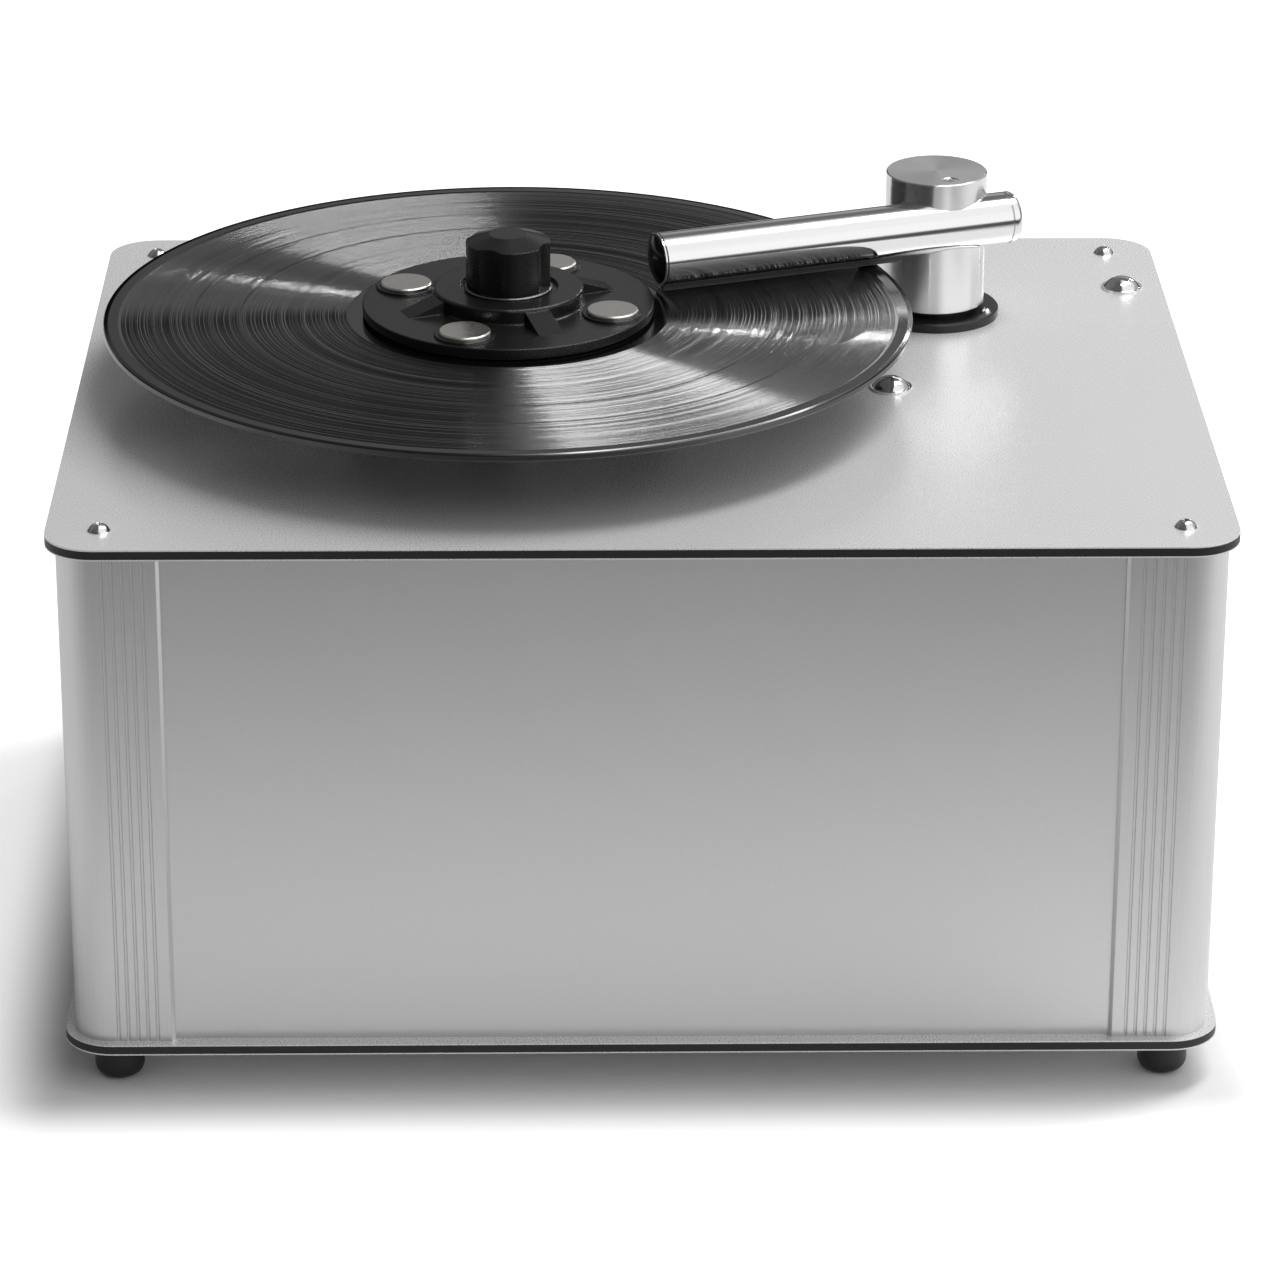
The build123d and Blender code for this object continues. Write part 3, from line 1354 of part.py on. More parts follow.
board_right = board_x + board_length / 2 - cable_inset
board_left = board_x - board_length / 2 + cable_inset
switch_back = panel_face_x - switch_body_depth
inlet_back = panel_face_y - inlet_body_depth + inlet_flange_thickness
motor_foot = drive_motor_bottom
cable_routes = [
    [
        (inlet_x, inlet_back, inlet_z),
        (inlet_x, inlet_back - cable_stub, inlet_z),
        (board_right, board_y + board_width, inlet_z),
        (board_right, board_y + board_width / 3, inlet_z),
        (board_right, board_y + board_width / 3, board_top),
    ],
    [
        (switch_back, switch_y[0], switch_height),
        (switch_back - cable_lead, switch_y[0], switch_height),
        (board_right, board_y, switch_height / 2),
        (board_right, board_y, board_top),
    ],
    [
        (platter_x, platter_y, motor_foot),
        (platter_x, platter_y, motor_foot - cable_dip),
        (platter_x, board_y, motor_foot - cable_dip),
        (board_left, board_y, motor_foot - cable_dip),
        (board_left, board_y, board_top),
    ],
]


def cable_bends(route):
    """Bend radius at each corner of a cable's route, as large as its two runs allow."""
    radii = []
    for before, corner, after in zip(route, route[1:], route[2:]):
        run_in = Vector(corner) - Vector(before)
        run_out = Vector(after) - Vector(corner)
        turn = run_in.get_angle(run_out)
        shorter = min(run_in.length, run_out.length)
        radii.append(min(cable_bend, bend_share * shorter / tan(radians(turn / 2))))
    return radii


with BuildPart() as wiring_loom:
    for route in cable_routes:
        with BuildLine():
            cable_path = FilletPolyline(*route, radius=cable_bends(route))
        with BuildSketch(Plane(origin=route[0], z_dir=cable_path % 0)):
            Circle(cable_radius)
        sweep(path=cable_path)
save(wiring_loom.part, "wiring_loom")
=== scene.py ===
"""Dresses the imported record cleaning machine: camera, studio, materials and fine pieces. Metres, +Z up."""
import json
import math

import bmesh
import bpy
from mathutils import Matrix, Vector, noise


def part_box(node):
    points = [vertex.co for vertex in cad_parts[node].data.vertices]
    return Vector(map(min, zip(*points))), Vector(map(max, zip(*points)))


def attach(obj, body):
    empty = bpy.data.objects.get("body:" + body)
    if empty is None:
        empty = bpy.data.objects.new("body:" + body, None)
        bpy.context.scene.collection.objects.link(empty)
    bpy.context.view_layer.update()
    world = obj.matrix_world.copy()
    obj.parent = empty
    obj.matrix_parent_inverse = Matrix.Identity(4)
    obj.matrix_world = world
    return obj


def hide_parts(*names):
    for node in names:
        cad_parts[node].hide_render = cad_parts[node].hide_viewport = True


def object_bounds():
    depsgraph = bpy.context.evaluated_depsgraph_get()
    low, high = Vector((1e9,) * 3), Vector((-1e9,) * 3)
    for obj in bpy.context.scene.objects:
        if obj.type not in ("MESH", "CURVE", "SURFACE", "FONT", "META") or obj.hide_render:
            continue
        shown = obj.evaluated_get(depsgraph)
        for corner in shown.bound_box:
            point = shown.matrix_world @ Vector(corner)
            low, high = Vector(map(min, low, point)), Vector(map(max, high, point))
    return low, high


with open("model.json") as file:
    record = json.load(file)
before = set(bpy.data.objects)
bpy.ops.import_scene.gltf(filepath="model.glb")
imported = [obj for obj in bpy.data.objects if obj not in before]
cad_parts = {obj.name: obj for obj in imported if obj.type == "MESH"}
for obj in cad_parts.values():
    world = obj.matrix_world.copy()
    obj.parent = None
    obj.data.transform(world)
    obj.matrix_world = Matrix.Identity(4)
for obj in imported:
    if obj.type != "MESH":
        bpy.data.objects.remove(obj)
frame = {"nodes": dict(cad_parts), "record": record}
nodes = frame["nodes"]
cad_box = [list(corner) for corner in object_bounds()]
scene = bpy.context.scene
scene.view_settings.view_transform = "Standard"

PLATTER = Vector((-0.048, 0.0, 0.0))
ARM = Vector((0.1166, 0.078, 0.0))
ARM_ANGLE = math.radians(20.1)
TUBE_DIRECTION = Vector((math.cos(ARM_ANGLE), math.sin(ARM_ANGLE), 0))
TUBE_BACK = Vector((-math.sin(ARM_ANGLE), math.cos(ARM_ANGLE), 0))
TUBE_FOOT = ARM - TUBE_BACK * 0.0128 + Vector((0, 0, 0.2519))
TOP_FACE = 0.212


# ---------------------------------------------------------------- camera
def add_camera():
    """Camera at the photograph's place, solved from the plate, the record and their mirror images."""
    yaw, pitch, roll = math.radians(-0.966), math.radians(22.943), math.radians(0.164)
    forward = Vector((-math.sin(yaw) * math.cos(pitch), math.cos(yaw) * math.cos(pitch), -math.sin(pitch)))
    level_right = Vector((math.cos(yaw), math.sin(yaw), 0))
    level_up = level_right.cross(forward)
    right = level_right * math.cos(roll) + level_up * math.sin(roll)
    up = level_up * math.cos(roll) - level_right * math.sin(roll)
    data = bpy.data.cameras.new("camera")
    data.sensor_width = 36.0
    data.lens = 147.36
    data.clip_end = 50.0
    camera = bpy.data.objects.new("camera", data)
    rotation = Matrix((right, up, -forward)).transposed().to_4x4()
    camera.matrix_world = Matrix.Translation((-0.0291, -1.85583, 0.89156)) @ rotation
    scene.collection.objects.link(camera)
    scene.camera = camera


# ---------------------------------------------------------------- node helpers
class Nodes:
    """A material's or world's node tree, with short ways to add and join nodes."""

    def __init__(self, tree):
        self.tree = tree
        tree.nodes.clear()

    def add(self, kind, **settings):
        node = self.tree.nodes.new(kind)
        for key, value in settings.items():
            setattr(node, key, value)
        return node

    def join(self, output, socket):
        self.tree.links.new(output, socket)

    def feed(self, socket, value):
        if isinstance(value, bpy.types.NodeSocket):
            self.join(value, socket)
        else:
            socket.default_value = value

    def math(self, operation, *values):
        node = self.add("ShaderNodeMath", operation=operation)
        for socket, value in zip(node.inputs, values):
            self.feed(socket, value)
        return node.outputs[0]

    def span(self, value, low, high, to_low, to_high, smooth=False):
        node = self.add("ShaderNodeMapRange", interpolation_type="SMOOTHSTEP" if smooth else "LINEAR")
        for socket, item in zip(node.inputs, (value, low, high, to_low, to_high)):
            self.feed(socket, item)
        return node.outputs[0]

    def place(self):
        """Position on the piece at rest, in metres."""
        return self.add("ShaderNodeTexCoord").outputs["Object"]

    def parts(self, vector):
        node = self.add("ShaderNodeSeparateXYZ")
        self.join(vector, node.inputs[0])
        return node.outputs

    def vector(self, x, y, z):
        node = self.add("ShaderNodeCombineXYZ")
        for socket, value in zip(node.inputs, (x, y, z)):
            self.feed(socket, value)
        return node.outputs[0]

    def stretch(self, vector, x, y, z):
        node = self.add("ShaderNodeVectorMath", operation="MULTIPLY")
        self.join(vector, node.inputs[0])
        node.inputs[1].default_value = (x, y, z)
        return node.outputs[0]

    def noise(self, vector, scale, detail=2.0, roughness=0.5):
        node = self.add("ShaderNodeTexNoise")
        self.join(vector, node.inputs["Vector"])
        node.inputs["Scale"].default_value = scale
        node.inputs["Detail"].default_value = detail
        node.inputs["Roughness"].default_value = roughness
        return node.outputs[0]

    def line_noise(self, value, detail=2.0, roughness=0.5):
        node = self.add("ShaderNodeTexNoise", noise_dimensions="1D")
        self.feed(node.inputs["W"], value)
        node.inputs["Scale"].default_value = 1.0
        node.inputs["Detail"].default_value = detail
        node.inputs["Roughness"].default_value = roughness
        return node.outputs[0]

    def blend(self, factor, first, second):
        node = self.add("ShaderNodeMix", data_type="RGBA")
        self.feed(node.inputs["Factor"], factor)
        self.feed(node.inputs["A"], first)
        self.feed(node.inputs["B"], second)
        return node.outputs["Result"]

    def bump(self, height, distance, strength=1.0, normal=None):
        node = self.add("ShaderNodeBump")
        node.inputs["Strength"].default_value = strength
        node.inputs["Distance"].default_value = distance
        self.join(height, node.inputs["Height"])
        if normal is not None:
            self.join(normal, node.inputs["Normal"])
        return node.outputs[0]

    def rounding(self, radius):
        node = self.add("ShaderNodeBevel", samples=4)
        node.inputs["Radius"].default_value = radius
        return node.outputs[0]


def shader(name, **settings):
    """A new material with one principled shader; returns the material, its nodes and the shader."""
    material = bpy.data.materials.new(name)
    material.use_nodes = True
    tree = Nodes(material.node_tree)
    principled = tree.add("ShaderNodeBsdfPrincipled")
    output = tree.add("ShaderNodeOutputMaterial")
    tree.join(principled.outputs[0], output.inputs["Surface"])
    for key, value in settings.items():
        principled.inputs[key.replace("_", " ")].default_value = value
    return material, tree, principled


def grey(value):
    return (value, value, value, 1.0)


def around(tree, centre, spot=None):
    """Distance from a vertical axis, in metres."""
    x, y, z = tree.parts(spot or tree.place())
    across = tree.math("SUBTRACT", x, centre.x)
    along = tree.math("SUBTRACT", y, centre.y)
    squares = tree.math("ADD", tree.math("MULTIPLY", across, across), tree.math("MULTIPLY", along, along))
    return tree.math("SQRT", squares), across, along, z


# ---------------------------------------------------------------- materials
def satin_metal(name, tone, rough, grain, grain_depth, tint=(1.0, 1.0, 1.0), lines=None, metallic=1.0):
    """Blasted and anodised aluminium; lines stretches the grain along an axis."""
    material, tree, body = shader(name, Metallic=metallic)
    spot = tree.place()
    if lines is not None:
        spot = tree.stretch(spot, *lines)
    speckle = tree.noise(spot, grain, 3.0, 0.65)
    cloud = tree.noise(tree.place(), 9.0, 2.0, 0.5)
    mixed = tree.math("ADD", tree.math("MULTIPLY", speckle, 0.8), tree.math("MULTIPLY", cloud, 0.2))
    low = tuple(tone * 0.9 * part for part in tint) + (1.0,)
    high = tuple(min(tone * 1.08 * part, 0.98) for part in tint) + (1.0,)
    tree.join(tree.blend(mixed, low, high), body.inputs["Base Color"])
    tree.join(tree.span(mixed, 0.3, 0.7, rough * 0.9, rough * 1.12), body.inputs["Roughness"])
    tree.join(tree.bump(speckle, grain_depth, 1.0, tree.rounding(0.0003)), body.inputs["Normal"])
    return material


def laminate_core():
    material, tree, body = shader("laminate_core_black")
    speckle = tree.noise(tree.place(), 2600.0, 2.0, 0.6)
    tree.join(tree.blend(speckle, grey(0.006), grey(0.016)), body.inputs["Base Color"])
    tree.join(tree.span(speckle, 0.2, 0.8, 0.34, 0.5), body.inputs["Roughness"])
    tree.join(tree.bump(speckle, 0.00003), body.inputs["Normal"])
    return material


def turned_metal(name, centre, tone, rough, line_depth, stretch_along=0.8):
    """Lathe-turned metal: fine rings round a vertical axis."""
    material, tree, body = shader(name, Metallic=1.0, Anisotropic=stretch_along, Anisotropic_Rotation=0.25)
    radius, across, along, z = around(tree, centre)
    rings = tree.line_noise(tree.math("MULTIPLY", tree.math("ADD", radius, z), 9000.0), 3.0, 0.6)
    broad = tree.line_noise(tree.math("MULTIPLY", tree.math("SUBTRACT", radius, z), 900.0), 2.0, 0.5)
    mixed = tree.math("ADD", tree.math("MULTIPLY", rings, 0.7), tree.math("MULTIPLY", broad, 0.3))
    tree.join(tree.blend(mixed, grey(tone * 0.88), grey(min(tone * 1.1, 0.96))), body.inputs["Base Color"])
    tree.join(tree.span(mixed, 0.25, 0.75, rough * 0.85, rough * 1.2), body.inputs["Roughness"])
    tangent = tree.add("ShaderNodeTangent", direction_type="RADIAL", axis="Z")
    tree.join(tangent.outputs[0], body.inputs["Tangent"])
    tree.join(tree.bump(rings, line_depth, 1.0, tree.rounding(0.0002)), body.inputs["Normal"])
    return material


def chrome_tube():
    """Polished chrome with a trace of drawing lines along the tube."""
    material, tree, body = shader("tube_chrome_polished", Metallic=1.0)
    turn = tree.add("ShaderNodeVectorRotate", rotation_type="Z_AXIS")
    tree.join(tree.place(), turn.inputs["Vector"])
    turn.inputs["Angle"].default_value = -ARM_ANGLE
    lines = tree.noise(tree.stretch(turn.outputs[0], 6.0, 900.0, 900.0), 1.0, 3.0, 0.6)
    cloud = tree.noise(tree.place(), 60.0, 2.0, 0.5)
    tree.join(tree.blend(lines, grey(0.8), grey(0.9)), body.inputs["Base Color"])
    rough = tree.math("ADD", tree.span(lines, 0.3, 0.7, 0.05, 0.12), tree.span(cloud, 0.3, 0.7, 0.0, 0.03))
    tree.join(rough, body.inputs["Roughness"])
    tree.join(tree.bump(lines, 0.000004, 1.0, tree.rounding(0.0003)), body.inputs["Normal"])
    return material


def bright_plating(name, tone, rough, scratch):
    material, tree, body = shader(name, Metallic=1.0)
    wear = tree.noise(tree.place(), scratch, 4.0, 0.7)
    tree.join(tree.blend(wear, grey(tone * 0.86), grey(min(tone * 1.08, 0.97))), body.inputs["Base Color"])
    tree.join(tree.span(wear, 0.3, 0.75, rough * 0.7, rough * 1.5), body.inputs["Roughness"])
    tree.join(tree.bump(wear, 0.00002, 1.0, tree.rounding(0.0002)), body.inputs["Normal"])
    return material


TRACK_GAPS = (0.1000, 0.1178)
GROOVE_WALL = 0.75
GROOVE_SWAY = 0.06
LAND_LEAN = 0.05
WORLD_TONE = 0.8


def vinyl():
    """Glossy record: groove walls, track gaps, run-out and rim, with a plain paper label under the clamp."""
    material, tree, body = shader("record_vinyl", IOR=1.97, Coat_IOR=1.46, Coat_Roughness=0.16)
    radius, across, along, z = around(tree, PLATTER)
    fine = tree.line_noise(tree.math("MULTIPLY", radius, 1900.0), 2.0, 0.6)
    bands = tree.line_noise(tree.math("MULTIPLY", radius, 420.0), 3.0, 0.6)
    slow = tree.line_noise(tree.math("MULTIPLY", radius, 90.0), 2.0, 0.5)
    grooved_in = tree.span(radius, 0.0600, 0.0606, 0.0, 1.0)
    grooved_out = tree.span(radius, 0.1440, 0.1448, 1.0, 0.0)
    grooved = tree.math("MULTIPLY", grooved_in, grooved_out)
    gap_mask = None
    for gap in TRACK_GAPS:
        off = tree.math("ABSOLUTE", tree.math("SUBTRACT", radius, gap))
        line = tree.span(off, 0.0002, 0.0005, 1.0, 0.0)
        gap_mask = line if gap_mask is None else tree.math("MAXIMUM", gap_mask, line)
    music = tree.math("MULTIPLY", grooved, tree.math("SUBTRACT", 1.0, tree.math("MULTIPLY", gap_mask, 0.9)))
    label = tree.span(radius, 0.0499, 0.0501, 1.0, 0.0)
    pressed = tree.span(tree.math("MULTIPLY", bands, slow), 0.15, 0.4, 0.0, 1.0)
    tone = tree.blend(tree.math("MULTIPLY", music, pressed), grey(0.002), grey(0.016))
    paper = tree.blend(tree.noise(tree.place(), 1400.0, 3.0), (0.62, 0.58, 0.5, 1), (0.7, 0.66, 0.58, 1))
    tree.join(tree.blend(label, tone, paper), body.inputs["Base Color"])
    rough_music = tree.span(bands, 0.3, 0.7, 0.14, 0.18)
    rough = tree.span(music, 0.0, 1.0, 0.14, rough_music)
    paper_rough = tree.math("MAXIMUM", rough, tree.math("MULTIPLY", label, 0.75))
    tree.join(paper_rough, body.inputs["Roughness"])
    tree.join(music, body.inputs["Coat Weight"])
    lip = tree.span(radius, 0.1488, 0.1492, 0.0, 1.0)
    sloped = tree.math("MAXIMUM", music, lip)
    tree.join(tree.blend(sloped, grey(0.75), grey(1.0)), body.inputs["Specular Tint"])
    land = tree.span(fine, 0.57, 0.63, 1.0, LAND_LEAN)
    sway = tree.span(bands, 0.3, 0.7, 1.0 - GROOVE_SWAY, 1.0 + GROOVE_SWAY)
    steep = tree.math("MULTIPLY", tree.math("MULTIPLY", land, sway), GROOVE_WALL)
    lean = tree.math("MAXIMUM", tree.math("MULTIPLY", steep, music), tree.math("MULTIPLY", lip, GROOVE_WALL))
    outward = tree.vector(tree.math("DIVIDE", across, radius), tree.math("DIVIDE", along, radius), 0.0)
    turned = tree.add("ShaderNodeVectorTransform", vector_type="VECTOR", convert_from="OBJECT", convert_to="WORLD")
    tree.join(outward, turned.inputs[0])
    upright = tree.add("ShaderNodeNewGeometry").outputs["Normal"]
    for side, socket in ((1.0, "Normal"), (-1.0, "Coat Normal")):
        leaning = tree.add("ShaderNodeVectorMath", operation="SCALE")
        tree.join(turned.outputs[0], leaning.inputs[0])
        tree.join(tree.math("MULTIPLY", lean, side), leaning.inputs["Scale"])
        facing = tree.add("ShaderNodeVectorMath", operation="ADD")
        tree.join(upright, facing.inputs[0])
        tree.join(leaning.outputs[0], facing.inputs[1])
        normal = tree.add("ShaderNodeVectorMath", operation="NORMALIZE")
        tree.join(facing.outputs[0], normal.inputs[0])
        tree.join(normal.outputs[0], body.inputs[socket])
    return material


def satin_plastic(name, tone, rough, grain, depth, edge=0.0003):
    material, tree, body = shader(name)
    speckle = tree.noise(tree.place(), grain, 3.0, 0.6)
    cloud = tree.noise(tree.place(), 45.0, 2.0, 0.5)
    mixed = tree.math("ADD", tree.math("MULTIPLY", speckle, 0.7), tree.math("MULTIPLY", cloud, 0.3))
    tree.join(tree.blend(mixed, grey(tone * 0.75), grey(tone * 1.25)), body.inputs["Base Color"])
    tree.join(tree.span(mixed, 0.3, 0.7, rough * 0.88, rough * 1.15), body.inputs["Roughness"])
    tree.join(tree.bump(speckle, depth, 1.0, tree.rounding(edge)), body.inputs["Normal"])
    return material


def felt():
    material, tree, body = shader("felt_black", Sheen_Weight=0.6, Sheen_Roughness=0.6)
    fluff = tree.noise(tree.place(), 1800.0, 4.0, 0.8)
    tree.join(tree.blend(fluff, grey(0.006), grey(0.035)), body.inputs["Base Color"])
    tree.join(tree.span(fluff, 0.3, 0.7, 0.85, 1.0), body.inputs["Roughness"])
    tree.join(tree.bump(fluff, 0.0003), body.inputs["Normal"])
    return material


def coloured(name, first, second, rough, grain, metallic=0.0):
    material, tree, body = shader(name, Metallic=metallic)
    speckle = tree.noise(tree.place(), grain, 3.0, 0.6)
    tree.join(tree.blend(speckle, first + (1.0,), second + (1.0,)), body.inputs["Base Color"])
    tree.join(tree.span(speckle, 0.3, 0.7, rough * 0.85, rough * 1.15), body.inputs["Roughness"])
    tree.join(tree.bump(speckle, 0.00004, 1.0, tree.rounding(0.0003)), body.inputs["Normal"])
    return material


def finishes():
    """Gives each CAD node its finish, by the record's material slots."""
    made = {
        "laminate_core": laminate_core(),
        "plate_skin": satin_metal("plate_satin", 0.86, 0.28, 1500.0, 0.000006, metallic=0.36),
        "post_metal": satin_metal("post_satin", 0.74, 0.33, 1600.0, 0.000006, lines=(1.0, 1.0, 0.02)),
        "panel_metal": satin_metal("panel_satin", 0.76, 0.36, 1300.0, 0.00001),
        "fastener_steel": bright_plating("plated_steel", 0.82, 0.14, 900.0),
        "bolt_dome": bright_plating("polished_dome", 0.84, 0.05, 500.0),
        "turned_steel": bright_plating("turned_steel", 0.66, 0.25, 1200.0),
        "foot_rubber": satin_plastic("foot_rubber_black", 0.012, 0.42, 1500.0, 0.00002),
        "soft_rubber": satin_plastic("soft_rubber_black", 0.014, 0.6, 1200.0, 0.00004),
        "bearing_brass": coloured("turned_brass", (0.62, 0.46, 0.2), (0.72, 0.56, 0.27), 0.25, 900.0, 1.0),
        "platter_metal": turned_metal("platter_turned", PLATTER, 0.7, 0.25, 0.000004),
        "vinyl": vinyl(),
        "clamp_plastic": satin_plastic("clamp_satin_black", 0.008, 0.27, 2200.0, 0.000012, edge=0.0006),
        "magnet_nickel": coloured("magnet_nickel", (0.66, 0.63, 0.59), (0.78, 0.75, 0.71), 0.32, 700.0, 1.0),
        "column_metal": turned_metal("column_turned", ARM, 0.93, 0.2, 0.000003),
        "ring_black": satin_plastic("ring_black_anodised", 0.01, 0.3, 2000.0, 0.000008),
        "tube_chrome": chrome_tube(),
        "felt": felt(),
        "black_plastic": satin_plastic("fitting_black", 0.008, 0.16, 1800.0, 0.00001, edge=0.0005),
        "sleeve_plastic": satin_plastic("sleeve_black", 0.01, 0.32, 1500.0, 0.00001),
        "motor_metal": bright_plating("drawn_can", 0.55, 0.3, 400.0),
        "tank_plastic": coloured("tank_white", (0.68, 0.68, 0.65), (0.76, 0.76, 0.74), 0.4, 500.0),
        "inner_plastic": satin_plastic("moulded_grey", 0.08, 0.45, 900.0, 0.00003),
        "board": coloured("board_green", (0.02, 0.1, 0.05), (0.035, 0.15, 0.08), 0.4, 800.0),
        "cable_sleeve": satin_plastic("cable_black", 0.015, 0.45, 900.0, 0.00003),
    }
    for part in frame["record"]["subparts"]:
        node = nodes[part["node"]]
        node.data.materials.clear()
        node.data.materials.append(made[part["material_slot"]])
    nodes["clamp_washer"].data.materials[0] = bright_plating("washer_dark_steel", 0.22, 0.3, 900.0)
    return made


# ---------------------------------------------------------------- fine pieces
def new_piece(name, mesh, body, slot, material, *replaced):
    """A mesh piece that rides on a body, with its finish, in place of the named CAD nodes."""
    piece = bpy.data.objects.new(name, mesh)
    scene.collection.objects.link(piece)
    mesh.materials.clear()
    mesh.materials.append(material)
    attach(piece, body)
    if replaced:
        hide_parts(*replaced)
    return piece


def lathe(profile, spots, segments=72):
    """Closed solids turned from one profile of (radius, height) pairs, one at each spot."""
    shape = bmesh.new()
    for spot in spots:
        rings = []
        for radius, height in profile:
            if radius < 1e-7:
                rings.append([shape.verts.new((spot[0], spot[1], spot[2] + height))])
                continue
            turns = (2 * math.pi * number / segments for number in range(segments))
            rings.append([
                shape.verts.new((
                    spot[0] + radius * math.cos(turn),
                    spot[1] + radius * math.sin(turn),
                    spot[2] + height,
                ))
                for turn in turns
            ])
        for lower, upper in zip(rings, rings[1:]):
            for number in range(segments):
                after = (number + 1) % segments
                if len(lower) == 1:
                    shape.faces.new((lower[0], upper[after], upper[number]))
                elif len(upper) == 1:
                    shape.faces.new((lower[number], lower[after], upper[0]))
                else:
                    shape.faces.new((lower[number], lower[after], upper[after], upper[number]))
    bmesh.ops.recalc_face_normals(shape, faces=shape.faces)
    mesh = bpy.data.meshes.new("lathed")
    shape.to_mesh(mesh)
    shape.free()
    return mesh


def cross_cutter(spots, width, reach, depth, turn):
    """Crossed wedges that cut a cross recess: wide at the top of each spot, narrower below."""
    shape = bmesh.new()
    for number, spot in enumerate(spots):
        for quarter in (0.0, math.pi / 2):
            angle = turn + 0.9 * number + quarter
            along = Vector((math.cos(angle), math.sin(angle), 0))
            aside = Vector((-math.sin(angle), math.cos(angle), 0))
            corners = []
            for height, shrink in ((depth, 1.25), (-depth, 0.45)):
                for side_along, side_aside in ((-1, -1), (1, -1), (1, 1), (-1, 1)):
                    where = along * side_along * reach * shrink + aside * side_aside * width * (0.7 + 0.3 * shrink)
                    corners.append(shape.verts.new(Vector(spot) + where + Vector((0, 0, height))))
            top, bottom = corners[:4], corners[4:]
            shape.faces.new(top)
            shape.faces.new(bottom[::-1])
            for index in range(4):
                after = (index + 1) % 4
                shape.faces.new((top[after], top[index], bottom[index], bottom[after]))
    bmesh.ops.recalc_face_normals(shape, faces=shape.faces)
    mesh = bpy.data.meshes.new("cutter")
    shape.to_mesh(mesh)
    shape.free()
    return mesh


def cut(mesh, cutter_mesh):
    """The mesh with the cutter's solids taken out of it."""
    solid = bpy.data.objects.new("solid", mesh)
    cutter = bpy.data.objects.new("cutter", cutter_mesh)
    for item in (solid, cutter):
        scene.collection.objects.link(item)
    modifier = solid.modifiers.new("cut", "BOOLEAN")
    modifier.operation = "DIFFERENCE"
    modifier.solver = "EXACT"
    modifier.use_self = True
    modifier.object = cutter
    bpy.context.view_layer.update()
    done = bpy.data.meshes.new_from_object(solid.evaluated_get(bpy.context.evaluated_depsgraph_get()))
    for item in (solid, cutter):
        bpy.data.objects.remove(item)
    return done


def soften(mesh, angle=30.0):
    """Smooth shading with sharp edges kept."""
    shape = bmesh.new()
    shape.from_mesh(mesh)
    for face in shape.faces:
        face.smooth = True
    for edge in shape.edges:
        if len(edge.link_faces) == 2 and edge.calc_face_angle(0.0) > math.radians(angle):
            edge.smooth = False
    shape.to_mesh(mesh)
    shape.free()
    return mesh


def button_screws(name, spots, body, head, height, shank, length, material, node, turn):
    """Domed screws with a cross recess in each head."""
    sphere = (head**2 + height**2) / (2 * height)
    edge = 0.12 * height
    dome = []
    steps = 12
    for step in range(steps + 1):
        radius = head * 0.985 * (1 - step / steps)
        dome.append((radius, math.sqrt(sphere**2 - radius**2) - sphere + height))
    profile = [
        (0, -length),
        (shank * 0.8, -length),
        (shank, -length + shank * 0.4),
        (shank, 0),
        (head, 0),
        (head, edge * 0.6),
        *dome,
    ]
    recess_at = [(spot[0], spot[1], spot[2] + height) for spot in spots]
    mesh = cut(lathe(profile, spots), cross_cutter(recess_at, 0.17 * head, 0.5 * head, 0.62 * height, turn))
    return new_piece(name, soften(mesh), body, "fastener_steel", material, node)


def screws(made):
    """Cross-recess screws: plate corners, the arm's base ring, the column's head and the mains inlet."""
    steel = made["fastener_steel"]
    inset_x, inset_y = 0.190, 0.149
    corners = [(side_x * inset_x, side_y * inset_y, TOP_FACE) for side_y in (-1, 1) for side_x in (-1, 1)]
    button_screws("plate_corner_screws", corners, "cabinet", 0.00405, 0.0028, 0.002, 0.022, steel,
                  "top_plate_screws", 0.4)
    ring_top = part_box("arm_base_ring")[1][2]
    turns = [math.radians(-27 + 120 * number) for number in range(3)]
    ring_spots = [(ARM.x + 0.022 * math.cos(turn), ARM.y + 0.022 * math.sin(turn), ring_top) for turn in turns]
    button_screws("arm_ring_screws", ring_spots, "cabinet", 0.0021, 0.0015, 0.00125, 0.007, steel,
                  "base_ring_screws", 0.9)
    low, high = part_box("tube_clamp_screw")
    head, shank = 0.0032, 0.0015
    spot = ((low[0] + high[0]) / 2, (low[1] + high[1]) / 2, high[2])
    foot = low[2] - high[2]
    profile = [(0, foot), (shank, foot), (shank, shank - head), (head, 0), (0.93 * head, 0.00008)]
    profile += [
        (0.93 * head * (1 - step / 8), 0.00008 + 0.00022 * math.sin(step / 8 * math.pi / 2))
        for step in range(1, 9)
    ]
    profile = [(radius, height - 0.0003) for radius, height in profile]
    mesh = cut(lathe(profile, [spot]), cross_cutter([spot], 0.00048, 0.0017, 0.0011, 0.5))
    new_piece("column_head_screw", soften(mesh), "arm", "fastener_steel", steel, "tube_clamp_screw")
    # The inlet's screws are turned upright, then laid over so that their heads face the rear.
    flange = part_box("mains_inlet")[1][1]
    inlet_x, inlet_height, apart = 0.130, 0.056, 0.020
    inlet_spots = [(inlet_x + side * apart, -inlet_height, flange) for side in (-1, 1)]
    profile = [(0, -0.002), (0.0014, -0.002), (0.0014, 0), (0.0027, 0), (0.0027, 0.0003)]
    profile += [
        (0.0026 * (1 - step / 8), 0.0003 + 0.0009 * math.sin(step / 8 * math.pi / 2))
        for step in range(9)
    ]
    recess_at = [(spot[0], spot[1], spot[2] + 0.0012) for spot in inlet_spots]
    mesh = cut(lathe(profile, inlet_spots, 48), cross_cutter(recess_at, 0.00042, 0.0014, 0.0008, 0.3))
    mesh.transform(Matrix.Rotation(-math.pi / 2, 4, "X"))
    new_piece("inlet_screws", soften(mesh), "cabinet", "fastener_steel", steel)


